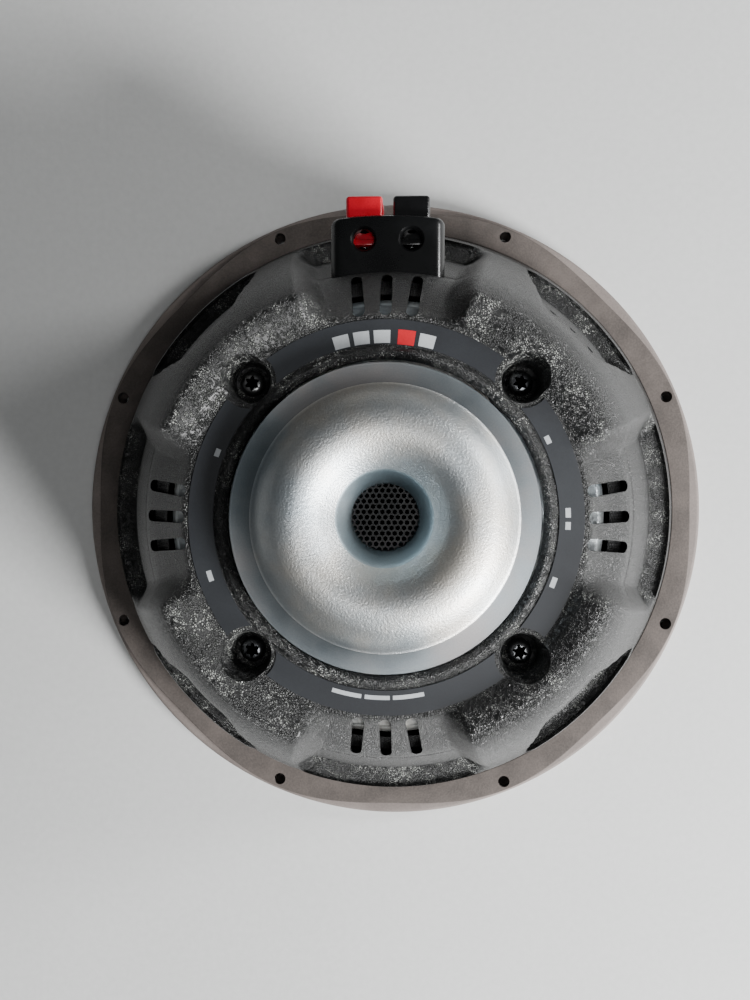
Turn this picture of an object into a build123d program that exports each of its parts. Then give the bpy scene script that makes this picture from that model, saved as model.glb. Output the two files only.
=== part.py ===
"""Ten-inch car subwoofer driver, lying face down.

Frame: millimetres, origin on the driver's axis at the plane of its front trim
ring, +Z towards the rear of the motor, +Y towards the terminal block.
"""
import os
from math import cos, radians, sin

from build123d import *

os.makedirs("parts", exist_ok=True)

# Driving dimensions, front to rear.
TRIM_R = 135.0
TRIM_H = 9.5
SHEET = 2.0
SEAT_Z = TRIM_H + SHEET
GASKET_H = 1.5
GASKET_GAP = 1.4
SEAT_R = 113.0
SPIGOT_R = 121.0
SPIGOT_TOP_Z = 15.0

# Eight mounting holes and the lobed edge of the flange.
BOLT_R = 129.0
BOLT_COUNT = 8
BOLT_START = 22.5
BOLT_HOLE_R = 2.5
LOBE_R = 133.0
WAIST_R = 129.8

# Rear of the frame: four raised pods on the diagonals, four valleys between.
LABEL_Z = 130.5
LABEL_R = 62.0
OPENING_R = 49.1
LIP_R = 51.05
LEDGE_Z = 44.0
POD_RIDGE_Z = 136.0
SLOT_FLOOR_Z = 95.0
SLOT_MID_R = 71.4
SLOT_L = 17.6
SLOT_W = 3.8
SLOT_STEP = 7.4
POD_NEAR_HALF = 29.5
POD_FAR_HALF = 26.8
POD_NEAR_R = 48.0
POD_FAR_R = 126.0
SCALLOP_NEAR_R = 81.0
SCALLOP_FAR_R = 112.0
SCALLOP_NEAR_HALF = 6.5
SCALLOP_FAR_HALF = 14.5

# Motor.
MOTOR_SCREW_R = 60.0
SCREW_SHANK_R = 2.4
SCREW_HEAD_R = 4.0
SCREW_HEAD_H = 2.8
SOCKET_DEPTH = 1.9
SCREW_POCKET_R = 7.4
SCREW_SEAT_Z = 118.0
YOKE_REAR_Z = SCREW_SEAT_Z - SHEET
YOKE_FRONT_Z = YOKE_REAR_Z - 8.0
YOKE_R = 71.0
BACK_R = 47.0
BACK_Z = 138.0
BUMP_Z = 146.0
VENT_R = 10.7
POLE_R = 25.2
POLE_FRONT_Z = 75.0
TOP_PLATE_Z = 77.0
TOP_PLATE_H = 8.0
TOP_PLATE_R = 70.0
MAGNET_Z = TOP_PLATE_Z + TOP_PLATE_H
MAGNET_R = 68.0
MAGNET_BORE_R = 33.0

# Moving assembly.
FORMER_R = 25.6
FORMER_WALL = 0.5
FORMER_Z = 40.0
FORMER_TOP_Z = 94.0
COIL_WALL = 0.65
COIL_Z = 68.0
CONE_EDGE_R = 87.0
CONE_LIP_R = 91.5
CONE_NECK_Z = 43.0
DUST_CAP_R = 42.0
CAP_CREST_Z = 14.0
ROLL_OUTER_R = 113.0
SURROUND_R = 119.0
ROLL_DEPTH = 7.3
SURROUND_WALL = 0.8
SPIDER_Z = 58.6
SPIDER_R = 80.0
CARRIER_Z = 60.0
CARRIER_H = 6.0
CARRIER_R = 74.0
CARRIER_REACH = 93.2

# Terminal block: an upper and a lower pair of push terminals.
BLOCK_HALF = 19.6
TERMINAL_X = 8.2
BUTTON_HALF = 6.4
BUTTON_H = 9.0
COLLAR_GROW = 0.8
CLEAR = 0.15
WIRE_HOLE_R = 3.6
UPPER_WIRE_Y = 94.5
LOWER_WIRE_Y = 103.0
SCREW_X = 17.6
SCREW_Z = 76.5
UPPER_TIER = {"bottom": 84.0, "top": 100.0, "front": 103.0, "button": 91.5, "heel": 93.3, "tip": 110.8}
LOWER_TIER = {"bottom": 69.0, "top": 84.0, "front": 107.5, "button": 76.5, "heel": 99.9, "tip": 113.2}
TRAVEL = 4.0
COLLAR_L = 2.0
POCKET_REAR_GAP = 4.9
SPRING_R = 1.4
SPRING_WIRE_R = 0.25
SPRING_TURNS = 6
SPRING_RISE = 2.0
SPRING_BORE = 3.5
TAG_Z = 56.0
TAG_W = 25.6
TAG_H = 7.6
TAG_Y = 96.0
TAG_REACH = 2.0
LEAD_X = (-9.0, -3.0, 3.0, 9.0)
LEAD_R = 0.8
BLOCK_SCREW_Y = 85.0
BLOCK_SCREW_HEAD_H = 1.6
WALL_NEAR_Y = 84.0
WALL_DEPTH = 20.0


def publish(solid, name):
    """Label a finished piece and write it under its own name."""
    solid.label = name
    export_step(solid, f"parts/{name}.step")


def ray(radius, angle):
    """Point on the XY plane at a radius and an angle in degrees."""
    return (radius * cos(radians(angle)), radius * sin(radians(angle)))


def lobed_disc(shrink):
    """Disc whose edge swells round each mounting hole, made smaller by shrink."""
    step = 180.0 / BOLT_COUNT
    radii = [LOBE_R - shrink, WAIST_R - shrink]
    points = [ray(radii[k % 2], BOLT_START + k * step) for k in range(2 * BOLT_COUNT)]
    with BuildSketch() as disc:
        with BuildLine():
            Spline(*points, periodic=True)
        make_face()
    return disc.sketch


def frame_skin(inset):
    """Solid inside the frame's rear skin, with every face moved in by inset."""
    base_z = TRIM_H - 2 * inset
    # Valleys: label plane, slotted slope, step, steep band, ledge, rim, spigot.
    with BuildPart() as valley:
        with BuildSketch(Plane.XZ):
            with BuildLine():
                Polyline(
                    (0, base_z), (0, LABEL_Z), (LABEL_R, LABEL_Z), (64, 129.5), (80.5, 108), (84.5, 96),
                    (85.5, 94), (99.5, 58), (103, 46), (104.5, LEDGE_Z), (110.3, LEDGE_Z),
                    (111.5, LEDGE_Z + 0.8), (112.2, 43), (SPIGOT_R, SPIGOT_TOP_Z), (SPIGOT_R, base_z), close=True,
                )
            make_face()
            if inset:
                offset(amount=-inset, kind=Kind.INTERSECTION, mode=Mode.REPLACE)
        revolve(axis=Axis.Z)
    # Pods: one convex profile, kept only inside four wedges.
    with BuildPart() as pods:
        with BuildSketch(Plane.XZ):
            with BuildLine():
                Polyline(
                    (0, base_z), (0, LABEL_Z), (LABEL_R, LABEL_Z), (66, 133.6), (72.8, POD_RIDGE_Z), (75.6, 133.5),
                    (79.8, 127), (85.5, 115), (91.5, 100), (98.5, 80), (105.5, 60), (111.8, LEDGE_Z), (114.2, 35),
                    (SPIGOT_R, SPIGOT_TOP_Z), (SPIGOT_R, base_z), close=True,
                )
            make_face()
            if inset:
                offset(amount=-inset, kind=Kind.INTERSECTION, mode=Mode.REPLACE)
        revolve(axis=Axis.Z)
        with BuildSketch():
            with PolarLocations(0, 4, start_angle=45):
                Polygon(
                    ray(POD_NEAR_R, -POD_NEAR_HALF), ray(POD_FAR_R, -POD_FAR_HALF),
                    ray(POD_FAR_R, POD_FAR_HALF), ray(POD_NEAR_R, POD_NEAR_HALF), align=None,
                )
            if inset:
                offset(amount=-inset, kind=Kind.INTERSECTION, mode=Mode.REPLACE)
        extrude(amount=POD_RIDGE_Z + SHEET, mode=Mode.INTERSECT)
    # Recesses: a tapering scallop in each pod's outer face, ending on the ledge.
    with BuildPart() as recesses:
        with BuildSketch(Plane.XZ):
            with BuildLine():
                Polyline(
                    (82, 121), (88.5, 97), (96.5, 74), (103.9, 48), (105.4, LEDGE_Z), (110.6, LEDGE_Z),
                    (140, LEDGE_Z), (140, 121), close=True,
                )
            make_face()
            if inset:
                offset(amount=inset, kind=Kind.INTERSECTION, mode=Mode.REPLACE)
        revolve(axis=Axis.Z)
        with BuildSketch():
            with PolarLocations(0, 4, start_angle=45):
                Polygon(
                    ray(SCALLOP_NEAR_R, -SCALLOP_NEAR_HALF), ray(SCALLOP_FAR_R, -SCALLOP_FAR_HALF),
                    ray(SCALLOP_FAR_R, SCALLOP_FAR_HALF), ray(SCALLOP_NEAR_R, SCALLOP_NEAR_HALF), align=None,
                )
            if inset:
                offset(amount=inset, kind=Kind.INTERSECTION, mode=Mode.REPLACE)
        extrude(amount=POD_RIDGE_Z, mode=Mode.INTERSECT)
    with BuildPart() as body:
        add(valley.part)
        add(pods.part)
        add(recesses.part, mode=Mode.SUBTRACT)
        # Round pockets sink the motor screws below the label plane.
        with BuildSketch(Plane.XY.offset(SCREW_SEAT_Z - inset)):
            with PolarLocations(MOTOR_SCREW_R, 4, start_angle=45):
                Circle(SCREW_POCKET_R + inset)
        extrude(amount=POD_RIDGE_Z - SCREW_SEAT_Z + 2 * inset, mode=Mode.SUBTRACT)
    return body.part


# Frame: pressed steel shell with flange, lip, slots and holes.
outer_skin = frame_skin(0)
inner_skin = frame_skin(SHEET)
with BuildPart() as basket:
    add(outer_skin)
    add(inner_skin, mode=Mode.SUBTRACT)
    with BuildSketch(Plane.XY.offset(TRIM_H)):
        add(lobed_disc(0))
        Circle(SEAT_R, mode=Mode.SUBTRACT)
    extrude(amount=SHEET)
    with BuildSketch():
        Circle(OPENING_R)
    extrude(amount=BUMP_Z, mode=Mode.SUBTRACT)
    with BuildSketch(Plane.XZ):
        with Locations((LIP_R, LABEL_Z - 0.3)):
            Circle(1.95)
    revolve(axis=Axis.Z)
    with BuildSketch(Plane.XY.offset(SLOT_FLOOR_Z)):
        for valley_angle in (0, 90, 180, 270):
            for spread in (-SLOT_STEP, 0, SLOT_STEP):
                with PolarLocations(SLOT_MID_R, 1, start_angle=valley_angle + spread):
                    SlotOverall(SLOT_L, SLOT_W)
    extrude(amount=POD_RIDGE_Z - SLOT_FLOOR_Z, mode=Mode.SUBTRACT)
    with Locations(Plane.XY.offset(SEAT_Z)):
        with PolarLocations(BOLT_R, BOLT_COUNT, start_angle=BOLT_START):
            Hole(BOLT_HOLE_R, depth=SHEET)
    with Locations(Plane.XY.offset(SCREW_SEAT_Z)):
        with PolarLocations(MOTOR_SCREW_R, 4, start_angle=45):
            Hole(2.8, depth=SHEET)
    # Window for the tag board and two holes for the block's screws.
    with BuildSketch(Plane.XZ.offset(-WALL_NEAR_Y)):
        with Locations((0, TAG_Z)):
            Rectangle(TAG_W + 0.4, TAG_H + 0.4)
        with Locations((-SCREW_X, SCREW_Z), (SCREW_X, SCREW_Z)):
            Circle(1.4)
    extrude(amount=-WALL_DEPTH, mode=Mode.SUBTRACT)
publish(basket.part, "basket")

# Rear gasket on the flange.
with BuildPart() as rear_gasket:
    with BuildSketch(Plane.XY.offset(SEAT_Z)):
        add(lobed_disc(0.25))
        Circle(SPIGOT_R + GASKET_GAP, mode=Mode.SUBTRACT)
        with PolarLocations(BOLT_R, BOLT_COUNT, start_angle=BOLT_START):
            Circle(BOLT_HOLE_R, mode=Mode.SUBTRACT)
    extrude(amount=GASKET_H)
publish(rear_gasket.part, "rear_gasket")

# Front trim ring, stepped to hold down the surround's outer lip.
with BuildPart() as front_trim_ring:
    with BuildSketch(Plane.XZ):
        with BuildLine():
            Polyline(
                (115.5, 0.8), (116.3, 0), (TRIM_R - 1.5, 0), (TRIM_R, 1.5), (TRIM_R, TRIM_H - 1),
                (TRIM_R - 1, TRIM_H), (SURROUND_R + 0.2, TRIM_H), (SURROUND_R + 0.2, TRIM_H - SURROUND_WALL),
                (115.5, TRIM_H - SURROUND_WALL), close=True,
            )
        make_face()
    revolve(axis=Axis.Z)
    with Locations(Plane.XY.offset(TRIM_H)):
        with PolarLocations(BOLT_R, BOLT_COUNT, start_angle=BOLT_START):
            Hole(BOLT_HOLE_R, depth=TRIM_H)
publish(front_trim_ring.part, "front_trim_ring")

# Surround: half-roll between the cone's edge and the frame's seat.
roll_mid = (CONE_LIP_R + ROLL_OUTER_R) / 2
roll_half = (ROLL_OUTER_R - CONE_LIP_R) / 2
with BuildPart() as surround:
    with BuildSketch(Plane.XZ):
        with Locations((roll_mid, TRIM_H)):
            Ellipse(roll_half, ROLL_DEPTH + SURROUND_WALL)
            Ellipse(roll_half - SURROUND_WALL, ROLL_DEPTH, mode=Mode.SUBTRACT)
        with Locations((roll_mid, TRIM_H + 20)):
            Rectangle(60, 40, mode=Mode.SUBTRACT)
        with Locations(((CONE_EDGE_R + CONE_LIP_R + SURROUND_WALL) / 2, TRIM_H - SURROUND_WALL / 2)):
            Rectangle(CONE_LIP_R + SURROUND_WALL - CONE_EDGE_R, SURROUND_WALL)
        with Locations(((ROLL_OUTER_R - SURROUND_WALL + SURROUND_R) / 2, TRIM_H - SURROUND_WALL / 2)):
            Rectangle(SURROUND_R - ROLL_OUTER_R + SURROUND_WALL, SURROUND_WALL)
    revolve(axis=Axis.Z)
publish(surround.part, "surround")

# Cone: shallow ribless shell with a glue lip and a neck on the former.
with BuildPart() as cone:
    with BuildSketch(Plane.XZ):
        with BuildLine():
            Polyline(
                (CONE_LIP_R - 0.4, TRIM_H), (CONE_LIP_R - 0.4, TRIM_H + 1), (CONE_EDGE_R, TRIM_H + 1.2),
                (FORMER_R + FORMER_WALL + 1, CONE_NECK_Z), (FORMER_R + FORMER_WALL, CONE_NECK_Z),
                (FORMER_R + FORMER_WALL, CONE_NECK_Z - 1.4), (CONE_EDGE_R, TRIM_H), close=True,
            )
        make_face()
    revolve(axis=Axis.Z)
publish(cone.part, "cone")

# Dust cap: shallow dome glued to the cone's front.
cone_slope = (CONE_NECK_Z - 1.4 - TRIM_H) / (CONE_EDGE_R - FORMER_R - FORMER_WALL)
cap_edge_z = TRIM_H + cone_slope * (CONE_EDGE_R - DUST_CAP_R)
cap_rise = cap_edge_z - CAP_CREST_Z
cap_sphere_r = (DUST_CAP_R**2 + cap_rise**2) / (2 * cap_rise)
cap_centre_z = CAP_CREST_Z + cap_sphere_r
with BuildPart() as dust_cap:
    with BuildSketch(Plane.XZ):
        with Locations((0, cap_centre_z)):
            Circle(cap_sphere_r)
            Circle(cap_sphere_r - 1.0, mode=Mode.SUBTRACT)
        with Locations((DUST_CAP_R / 2 - 0.5, CAP_CREST_Z + cap_rise / 2 - 1.0)):
            Rectangle(DUST_CAP_R - 1.0, cap_rise - 0.5, mode=Mode.INTERSECT)
        with Locations((-1, cap_centre_z)):
            Rectangle(2, 200, mode=Mode.SUBTRACT)
    revolve(axis=Axis.Z)
publish(dust_cap.part, "dust_cap")

# Voice coil: aluminium former and the two layers of a dual winding.
with BuildPart() as coil_former:
    with BuildSketch(Plane.XY.offset(FORMER_Z)):
        Circle(FORMER_R + FORMER_WALL)
        Circle(FORMER_R, mode=Mode.SUBTRACT)
    extrude(amount=FORMER_TOP_Z - FORMER_Z)
publish(coil_former.part, "coil_former")

for layer, layer_name in enumerate(("inner", "outer")):
    with BuildPart() as winding:
        with BuildSketch(Plane.XY.offset(COIL_Z)):
            Circle(FORMER_R + FORMER_WALL + (layer + 1) * COIL_WALL)
            Circle(FORMER_R + FORMER_WALL + layer * COIL_WALL, mode=Mode.SUBTRACT)
        extrude(amount=FORMER_TOP_Z - COIL_Z)
    publish(winding.part, f"voice_coil_{layer_name}_winding")

# Spider: corrugated cloth disc between former and carrier.
spider_neck_r = FORMER_R + FORMER_WALL
wave = [(spider_neck_r + 4 + k * 5.4, SPIDER_Z + (1.2 if k % 2 else -1.8)) for k in range(9)]
spider_line = [(spider_neck_r, SPIDER_Z), *wave, (CARRIER_R + 0.8, CARRIER_Z - 0.6), (SPIDER_R, CARRIER_Z - 0.6)]
with BuildPart() as spider:
    with BuildSketch(Plane.XZ):
        with BuildLine():
            rear_edge = [(r, z + 0.6) for r, z in spider_line]
            Polyline(*spider_line, *reversed(rear_edge), close=True)
        make_face()
    revolve(axis=Axis.Z)
publish(spider.part, "spider")

# Spider carrier: moulded ring on eight arms that reach the valley walls.
with BuildPart() as spider_carrier:
    with BuildSketch(Plane.XY.offset(CARRIER_Z)):
        Circle(SPIDER_R)
        with PolarLocations(0, 4):
            for side in (-11.5, 11.5):
                with PolarLocations((SPIDER_R + CARRIER_REACH) / 2, 1, start_angle=side):
                    Rectangle(CARRIER_REACH - SPIDER_R + 1, 6)
        Circle(CARRIER_R, mode=Mode.SUBTRACT)
    extrude(amount=CARRIER_H)
publish(spider_carrier.part, "spider_carrier")

# Mesh panels against the underside of the slots, one in each valley.
with BuildPart() as slot_meshes:
    with BuildSketch(Plane.XZ):
        with BuildLine():
            Polyline((72.8, 114.0), (78.8, 106.2), (78.2, 105.7), (72.2, 113.5), close=True)
        make_face()
    revolve(axis=Axis.Z)
    with BuildSketch():
        with PolarLocations(0, 4):
            Polygon((0, 0), ray(120, -13), ray(120, 13), align=None)
    extrude(amount=POD_RIDGE_Z, mode=Mode.INTERSECT)
publish(slot_meshes.part, "slot_meshes")

# Motor: top plate, ferrite ring, shorting ring, and the back plate with its pole.
with BuildPart() as top_plate:
    with BuildSketch(Plane.XY.offset(TOP_PLATE_Z)):
        Circle(TOP_PLATE_R)
        Circle(FORMER_R + FORMER_WALL + 2 * COIL_WALL + 0.6, mode=Mode.SUBTRACT)
    extrude(amount=TOP_PLATE_H)
    chamfer(top_plate.faces().sort_by(Axis.Z)[-1].edges().sort_by(SortBy.LENGTH)[-1], length=1.0)
publish(top_plate.part, "top_plate")

with BuildPart() as magnet:
    with BuildSketch(Plane.XY.offset(MAGNET_Z)):
        Circle(MAGNET_R)
        Circle(MAGNET_BORE_R, mode=Mode.SUBTRACT)
    extrude(amount=YOKE_FRONT_Z - MAGNET_Z)
    chamfer(magnet.edges().filter_by(GeomType.CIRCLE).group_by(SortBy.RADIUS)[-1], length=1.2)
publish(magnet.part, "magnet")

with BuildPart() as shorting_ring:
    with BuildSketch(Plane.XY.offset(MAGNET_Z + 2)):
        Circle(MAGNET_BORE_R - 0.1)
        Circle(MAGNET_BORE_R - 4, mode=Mode.SUBTRACT)
    extrude(amount=YOKE_FRONT_Z - MAGNET_Z - 3)
publish(shorting_ring.part, "shorting_ring")

with BuildPart() as back_plate:
    with BuildSketch(Plane.XZ):
        with BuildLine():
            foot = Polyline(
                (VENT_R, 128), (VENT_R, POLE_FRONT_Z + 5), (VENT_R + 4, POLE_FRONT_Z), (POLE_R, POLE_FRONT_Z),
                (POLE_R, 125), (28, 130), (33, 130), (36, 125), (36, YOKE_FRONT_Z), (YOKE_R, YOKE_FRONT_Z),
                (YOKE_R, YOKE_REAR_Z - 3.5), (YOKE_R - 2.5, YOKE_REAR_Z), (BACK_R, YOKE_REAR_Z), (BACK_R, BACK_Z - 1.6), (BACK_R - 1.6, BACK_Z),
                (41.2, BACK_Z),
            )
            dome = Spline(
                foot @ 1, (36.5, BACK_Z + 4.2), (28, BUMP_Z), (20, 143.4), (14.8, 138), foot @ 0,
                tangents=((-0.5, 0.5), (0, -1)),
            )
        make_face()
    revolve(axis=Axis.Z)
    with Locations(Plane.XY.offset(YOKE_REAR_Z)):
        with PolarLocations(MOTOR_SCREW_R, 4, start_angle=45):
            Hole(SCREW_SHANK_R + 0.05, depth=YOKE_REAR_Z - YOKE_FRONT_Z)
publish(back_plate.part, "back_plate")

with BuildPart() as vent_mesh:
    with BuildSketch(Plane.XY.offset(124)):
        Circle(VENT_R)
    extrude(amount=0.9)
publish(vent_mesh.part, "vent_mesh")

# Four button-head motor screws with six-lobed sockets.
with BuildPart() as motor_screws:
    with BuildSketch(Plane.XY.offset(YOKE_FRONT_Z)):
        with PolarLocations(MOTOR_SCREW_R, 4, start_angle=45):
            Circle(SCREW_SHANK_R)
    extrude(amount=SCREW_SEAT_Z - YOKE_FRONT_Z)
    with BuildSketch(Plane.XY.offset(SCREW_SEAT_Z)):
        with PolarLocations(MOTOR_SCREW_R, 4, start_angle=45):
            Circle(SCREW_HEAD_R)
    extrude(amount=SCREW_HEAD_H)
    fillet(motor_screws.faces().group_by(Axis.Z)[-1].edges(), radius=1.2)
    with BuildSketch(Plane.XY.offset(SCREW_SEAT_Z + SCREW_HEAD_H)):
        with PolarLocations(MOTOR_SCREW_R, 4, start_angle=45):
            Circle(1.8)
            with PolarLocations(1.75, 6):
                Circle(0.55)
    extrude(amount=-SOCKET_DEPTH, mode=Mode.SUBTRACT)
publish(motor_screws.part, "motor_screws")

# Label: four curved strips between the screw pockets.
with BuildPart() as label_strips:
    with BuildSketch(Plane.XY.offset(LABEL_Z)):
        Circle(61.4)
        Circle(53.4, mode=Mode.SUBTRACT)
        with PolarLocations(MOTOR_SCREW_R, 4, start_angle=45):
            Circle(SCREW_POCKET_R + 1.4, mode=Mode.SUBTRACT)
    extrude(amount=0.25)
publish(label_strips.part, "label_strips")

# Terminal block: housing with two tiers, hollowed for buttons, springs and wires.
with BuildPart() as terminal_housing:
    for tier in (UPPER_TIER, LOWER_TIER):
        with BuildSketch(Plane.XY.offset(tier["bottom"])):
            with BuildLine():
                corner_y = tier["front"] - 1.0
                rear = Polyline((BLOCK_HALF, corner_y), (BLOCK_HALF, 70), (-BLOCK_HALF, 70), (-BLOCK_HALF, corner_y))
                ThreePointArc(rear @ 1, (0, tier["front"]), rear @ 0)
            make_face()
        extrude(amount=tier["top"] - tier["bottom"])
    upright = terminal_housing.edges().filter_by(Axis.Z).group_by(Axis.Y)
    fillet([edge for group in upright[1:] for edge in group], radius=2.2)
    add(outer_skin, mode=Mode.SUBTRACT)
    for tier in (UPPER_TIER, LOWER_TIER):
        mid_z = tier["button"]
        heel = tier["heel"]
        shoulder = heel + COLLAR_L + 0.05
        for x in (-TERMINAL_X, TERMINAL_X):
            # Wide pocket for the collar, narrower channel for the button.
            with BuildSketch(Plane.XZ.offset(-(heel - POCKET_REAR_GAP))):
                with Locations((x, mid_z)):
                    Rectangle(2 * (BUTTON_HALF + COLLAR_GROW + CLEAR), BUTTON_H + 2 * (COLLAR_GROW + CLEAR))
            extrude(amount=-(shoulder - heel + POCKET_REAR_GAP), mode=Mode.SUBTRACT)
            with BuildSketch(Plane.XZ.offset(-shoulder)):
                with Locations((x, mid_z)):
                    Rectangle(2 * (BUTTON_HALF + CLEAR), BUTTON_H + 2 * CLEAR)
            extrude(amount=-(tier["front"] + 5 - shoulder), mode=Mode.SUBTRACT)
    # Wires enter the upper pair from the rear and the lower pair from the front.
    with BuildSketch(Plane.XY.offset(UPPER_TIER["top"])):
        with Locations((-TERMINAL_X, UPPER_WIRE_Y), (TERMINAL_X, UPPER_WIRE_Y)):
            Circle(WIRE_HOLE_R)
    extrude(amount=-5, mode=Mode.SUBTRACT)
    with BuildSketch(Plane.XY.offset(LOWER_TIER["bottom"])):
        with Locations((-TERMINAL_X, LOWER_WIRE_Y), (TERMINAL_X, LOWER_WIRE_Y)):
            Circle(WIRE_HOLE_R - 0.6)
    extrude(amount=4, mode=Mode.SUBTRACT)
    with BuildSketch(Plane.XZ.offset(-WALL_NEAR_Y)):
        with Locations((-SCREW_X, SCREW_Z), (SCREW_X, SCREW_Z)):
            Circle(1.25)
    extrude(amount=-18, mode=Mode.SUBTRACT)
publish(terminal_housing.part, "terminal_housing")

# Push buttons with their return springs, named by tier and colour.
for tier_name, tier in (("upper", UPPER_TIER), ("lower", LOWER_TIER)):
    for colour, x in (("red", -TERMINAL_X), ("black", TERMINAL_X)):
        heel = tier["heel"]
        mid_z = tier["button"]
        with BuildPart() as button:
            with BuildSketch(Plane.XZ.offset(-heel)):
                with Locations((x, mid_z)):
                    Rectangle(2 * BUTTON_HALF, BUTTON_H)
            extrude(amount=-(tier["tip"] - heel))
            fillet(button.edges().group_by(Axis.Y)[-1], radius=1.0)
            with BuildSketch(Plane.XZ.offset(-heel)):
                with Locations((x, mid_z)):
                    Rectangle(2 * (BUTTON_HALF + COLLAR_GROW), BUTTON_H + 2 * COLLAR_GROW)
            extrude(amount=-COLLAR_L)
            # Cross hole that lines up with the wire hole when pressed home.
            with BuildSketch(Plane.XY.offset(mid_z - BUTTON_H)):
                with Locations((x, heel + TRAVEL + 2.6)):
                    Circle(2.6)
            extrude(amount=2 * BUTTON_H, mode=Mode.SUBTRACT)
            # Blind seat for the return spring in the heel.
            with BuildSketch(Plane.XZ.offset(-heel)):
                with Locations((x, mid_z + SPRING_RISE)):
                    Circle(SPRING_R + SPRING_WIRE_R + 0.1)
            extrude(amount=-SPRING_BORE, mode=Mode.SUBTRACT)
        publish(button.part, f"{colour}_button_{tier_name}")

        spring_length = POCKET_REAR_GAP + SPRING_BORE - 0.1
        with BuildPart() as spring:
            with BuildLine() as coil:
                Helix(
                    pitch=(spring_length - 2 * SPRING_WIRE_R) / SPRING_TURNS,
                    height=spring_length - 2 * SPRING_WIRE_R,
                    radius=SPRING_R, center=(x, heel + SPRING_BORE - 0.05 - SPRING_WIRE_R, mid_z + SPRING_RISE),
                    direction=(0, -1, 0),
                )
            with BuildSketch(Plane(origin=coil.line @ 0, z_dir=coil.line % 0)):
                Circle(SPRING_WIRE_R)
            sweep(is_frenet=True)
        publish(spring.part, f"{colour}_spring_{tier_name}")

# Contact clips: plated strips that face each button's heel.
with BuildPart() as contact_clips:
    for tier in (UPPER_TIER, LOWER_TIER):
        with BuildSketch(Plane.XZ.offset(-(tier["heel"] - POCKET_REAR_GAP))):
            with Locations((-TERMINAL_X, tier["button"] - 2.2), (TERMINAL_X, tier["button"] - 2.2)):
                Rectangle(8, 4.4)
        extrude(amount=-0.6)
publish(contact_clips.part, "contact_clips")

# Two self-tapping screws hold the block from inside the frame.
with BuildPart() as terminal_screws:
    with BuildSketch(Plane.XZ.offset(-BLOCK_SCREW_Y)):
        with Locations((-SCREW_X, SCREW_Z), (SCREW_X, SCREW_Z)):
            Circle(2.4)
    extrude(amount=-BLOCK_SCREW_HEAD_H)
    with BuildSketch(Plane.XZ.offset(-BLOCK_SCREW_Y - BLOCK_SCREW_HEAD_H)):
        with Locations((-SCREW_X, SCREW_Z), (SCREW_X, SCREW_Z)):
            Circle(1.2)
    extrude(amount=-13)
publish(terminal_screws.part, "terminal_screws")

# Tag board that carries the coil leads through the frame's wall.
with BuildPart() as tag_board:
    with BuildSketch(Plane.XZ.offset(-TAG_Y)):
        with Locations((0, TAG_Z)):
            Rectangle(TAG_W, TAG_H)
    extrude(amount=-5.5)
    with BuildSketch(Plane.XZ.offset(-TAG_Y + TAG_REACH)):
        with Locations(*[(x, TAG_Z) for x in LEAD_X]):
            Rectangle(2.4, 4)
    extrude(amount=-TAG_REACH)
publish(tag_board.part, "tag_board")

# Tinsel leads: four flexible braids from the tags to the coil former's neck.
with BuildPart() as tinsel_leads:
    for x in LEAD_X:
        with BuildLine() as route:
            FilletPolyline(
                (x, TAG_Y - TAG_REACH - 0.1, TAG_Z), (x, 84, TAG_Z), (x, 68, TAG_Z - 6), (x, 52, TAG_Z - 8),
                (x, 38, TAG_Z - 16.5), radius=16,
            )
        with BuildSketch(Plane(origin=route.line @ 0, z_dir=route.line % 0)):
            Circle(LEAD_R)
        sweep()
publish(tinsel_leads.part, "tinsel_leads")
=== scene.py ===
"""Looks of a ten-inch car subwoofer driver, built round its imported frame.

Everything is in metres in the frame's own axes: the driver lies face down,
+Z points to the rear of its motor and +Y to its terminal block. Sizes are
written in millimetres and turned to metres by MM.
"""

import logging
import math
from dataclasses import dataclass
from enum import Enum
from typing import Callable, Iterable, Sequence

import bmesh
import bpy
from mathutils import Matrix, Vector


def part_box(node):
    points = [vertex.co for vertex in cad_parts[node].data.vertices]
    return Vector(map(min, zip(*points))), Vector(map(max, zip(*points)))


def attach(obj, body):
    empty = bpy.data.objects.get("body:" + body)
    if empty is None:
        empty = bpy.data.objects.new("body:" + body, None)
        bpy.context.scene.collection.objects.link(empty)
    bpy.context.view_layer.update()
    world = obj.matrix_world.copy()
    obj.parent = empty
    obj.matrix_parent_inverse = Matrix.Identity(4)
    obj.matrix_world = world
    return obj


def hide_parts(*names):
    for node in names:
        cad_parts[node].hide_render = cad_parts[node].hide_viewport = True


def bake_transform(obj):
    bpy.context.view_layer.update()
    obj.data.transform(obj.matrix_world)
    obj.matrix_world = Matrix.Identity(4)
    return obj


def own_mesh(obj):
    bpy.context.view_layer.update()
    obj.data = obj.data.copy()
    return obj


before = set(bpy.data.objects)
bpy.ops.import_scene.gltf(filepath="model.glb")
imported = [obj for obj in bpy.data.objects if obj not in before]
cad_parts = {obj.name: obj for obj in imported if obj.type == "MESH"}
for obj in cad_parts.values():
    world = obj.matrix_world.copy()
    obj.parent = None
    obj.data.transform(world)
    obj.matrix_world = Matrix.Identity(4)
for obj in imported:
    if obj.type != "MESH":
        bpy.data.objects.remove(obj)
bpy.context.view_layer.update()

LOG = logging.getLogger("subwoofer")
MM = 0.001
SEED = 11

Point = tuple[float, float, float]
Profile = Sequence[tuple[float, float]]


class Body(Enum):
    """Bodies that the pieces ride on."""

    FRAME = "frame"
    DIAPHRAGM = "diaphragm"
    RED_UPPER = "red_button_upper"
    BLACK_UPPER = "black_button_upper"
    RED_LOWER = "red_button_lower"
    BLACK_LOWER = "black_button_lower"


@dataclass(frozen=True)
class Tier:
    """One pair of push terminals: heights of its block and the reach of its buttons, in millimetres."""

    bottom: float
    top: float
    front: float
    button: float
    heel: float
    tip: float
    wire_y: float
    wire_r: float


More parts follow.
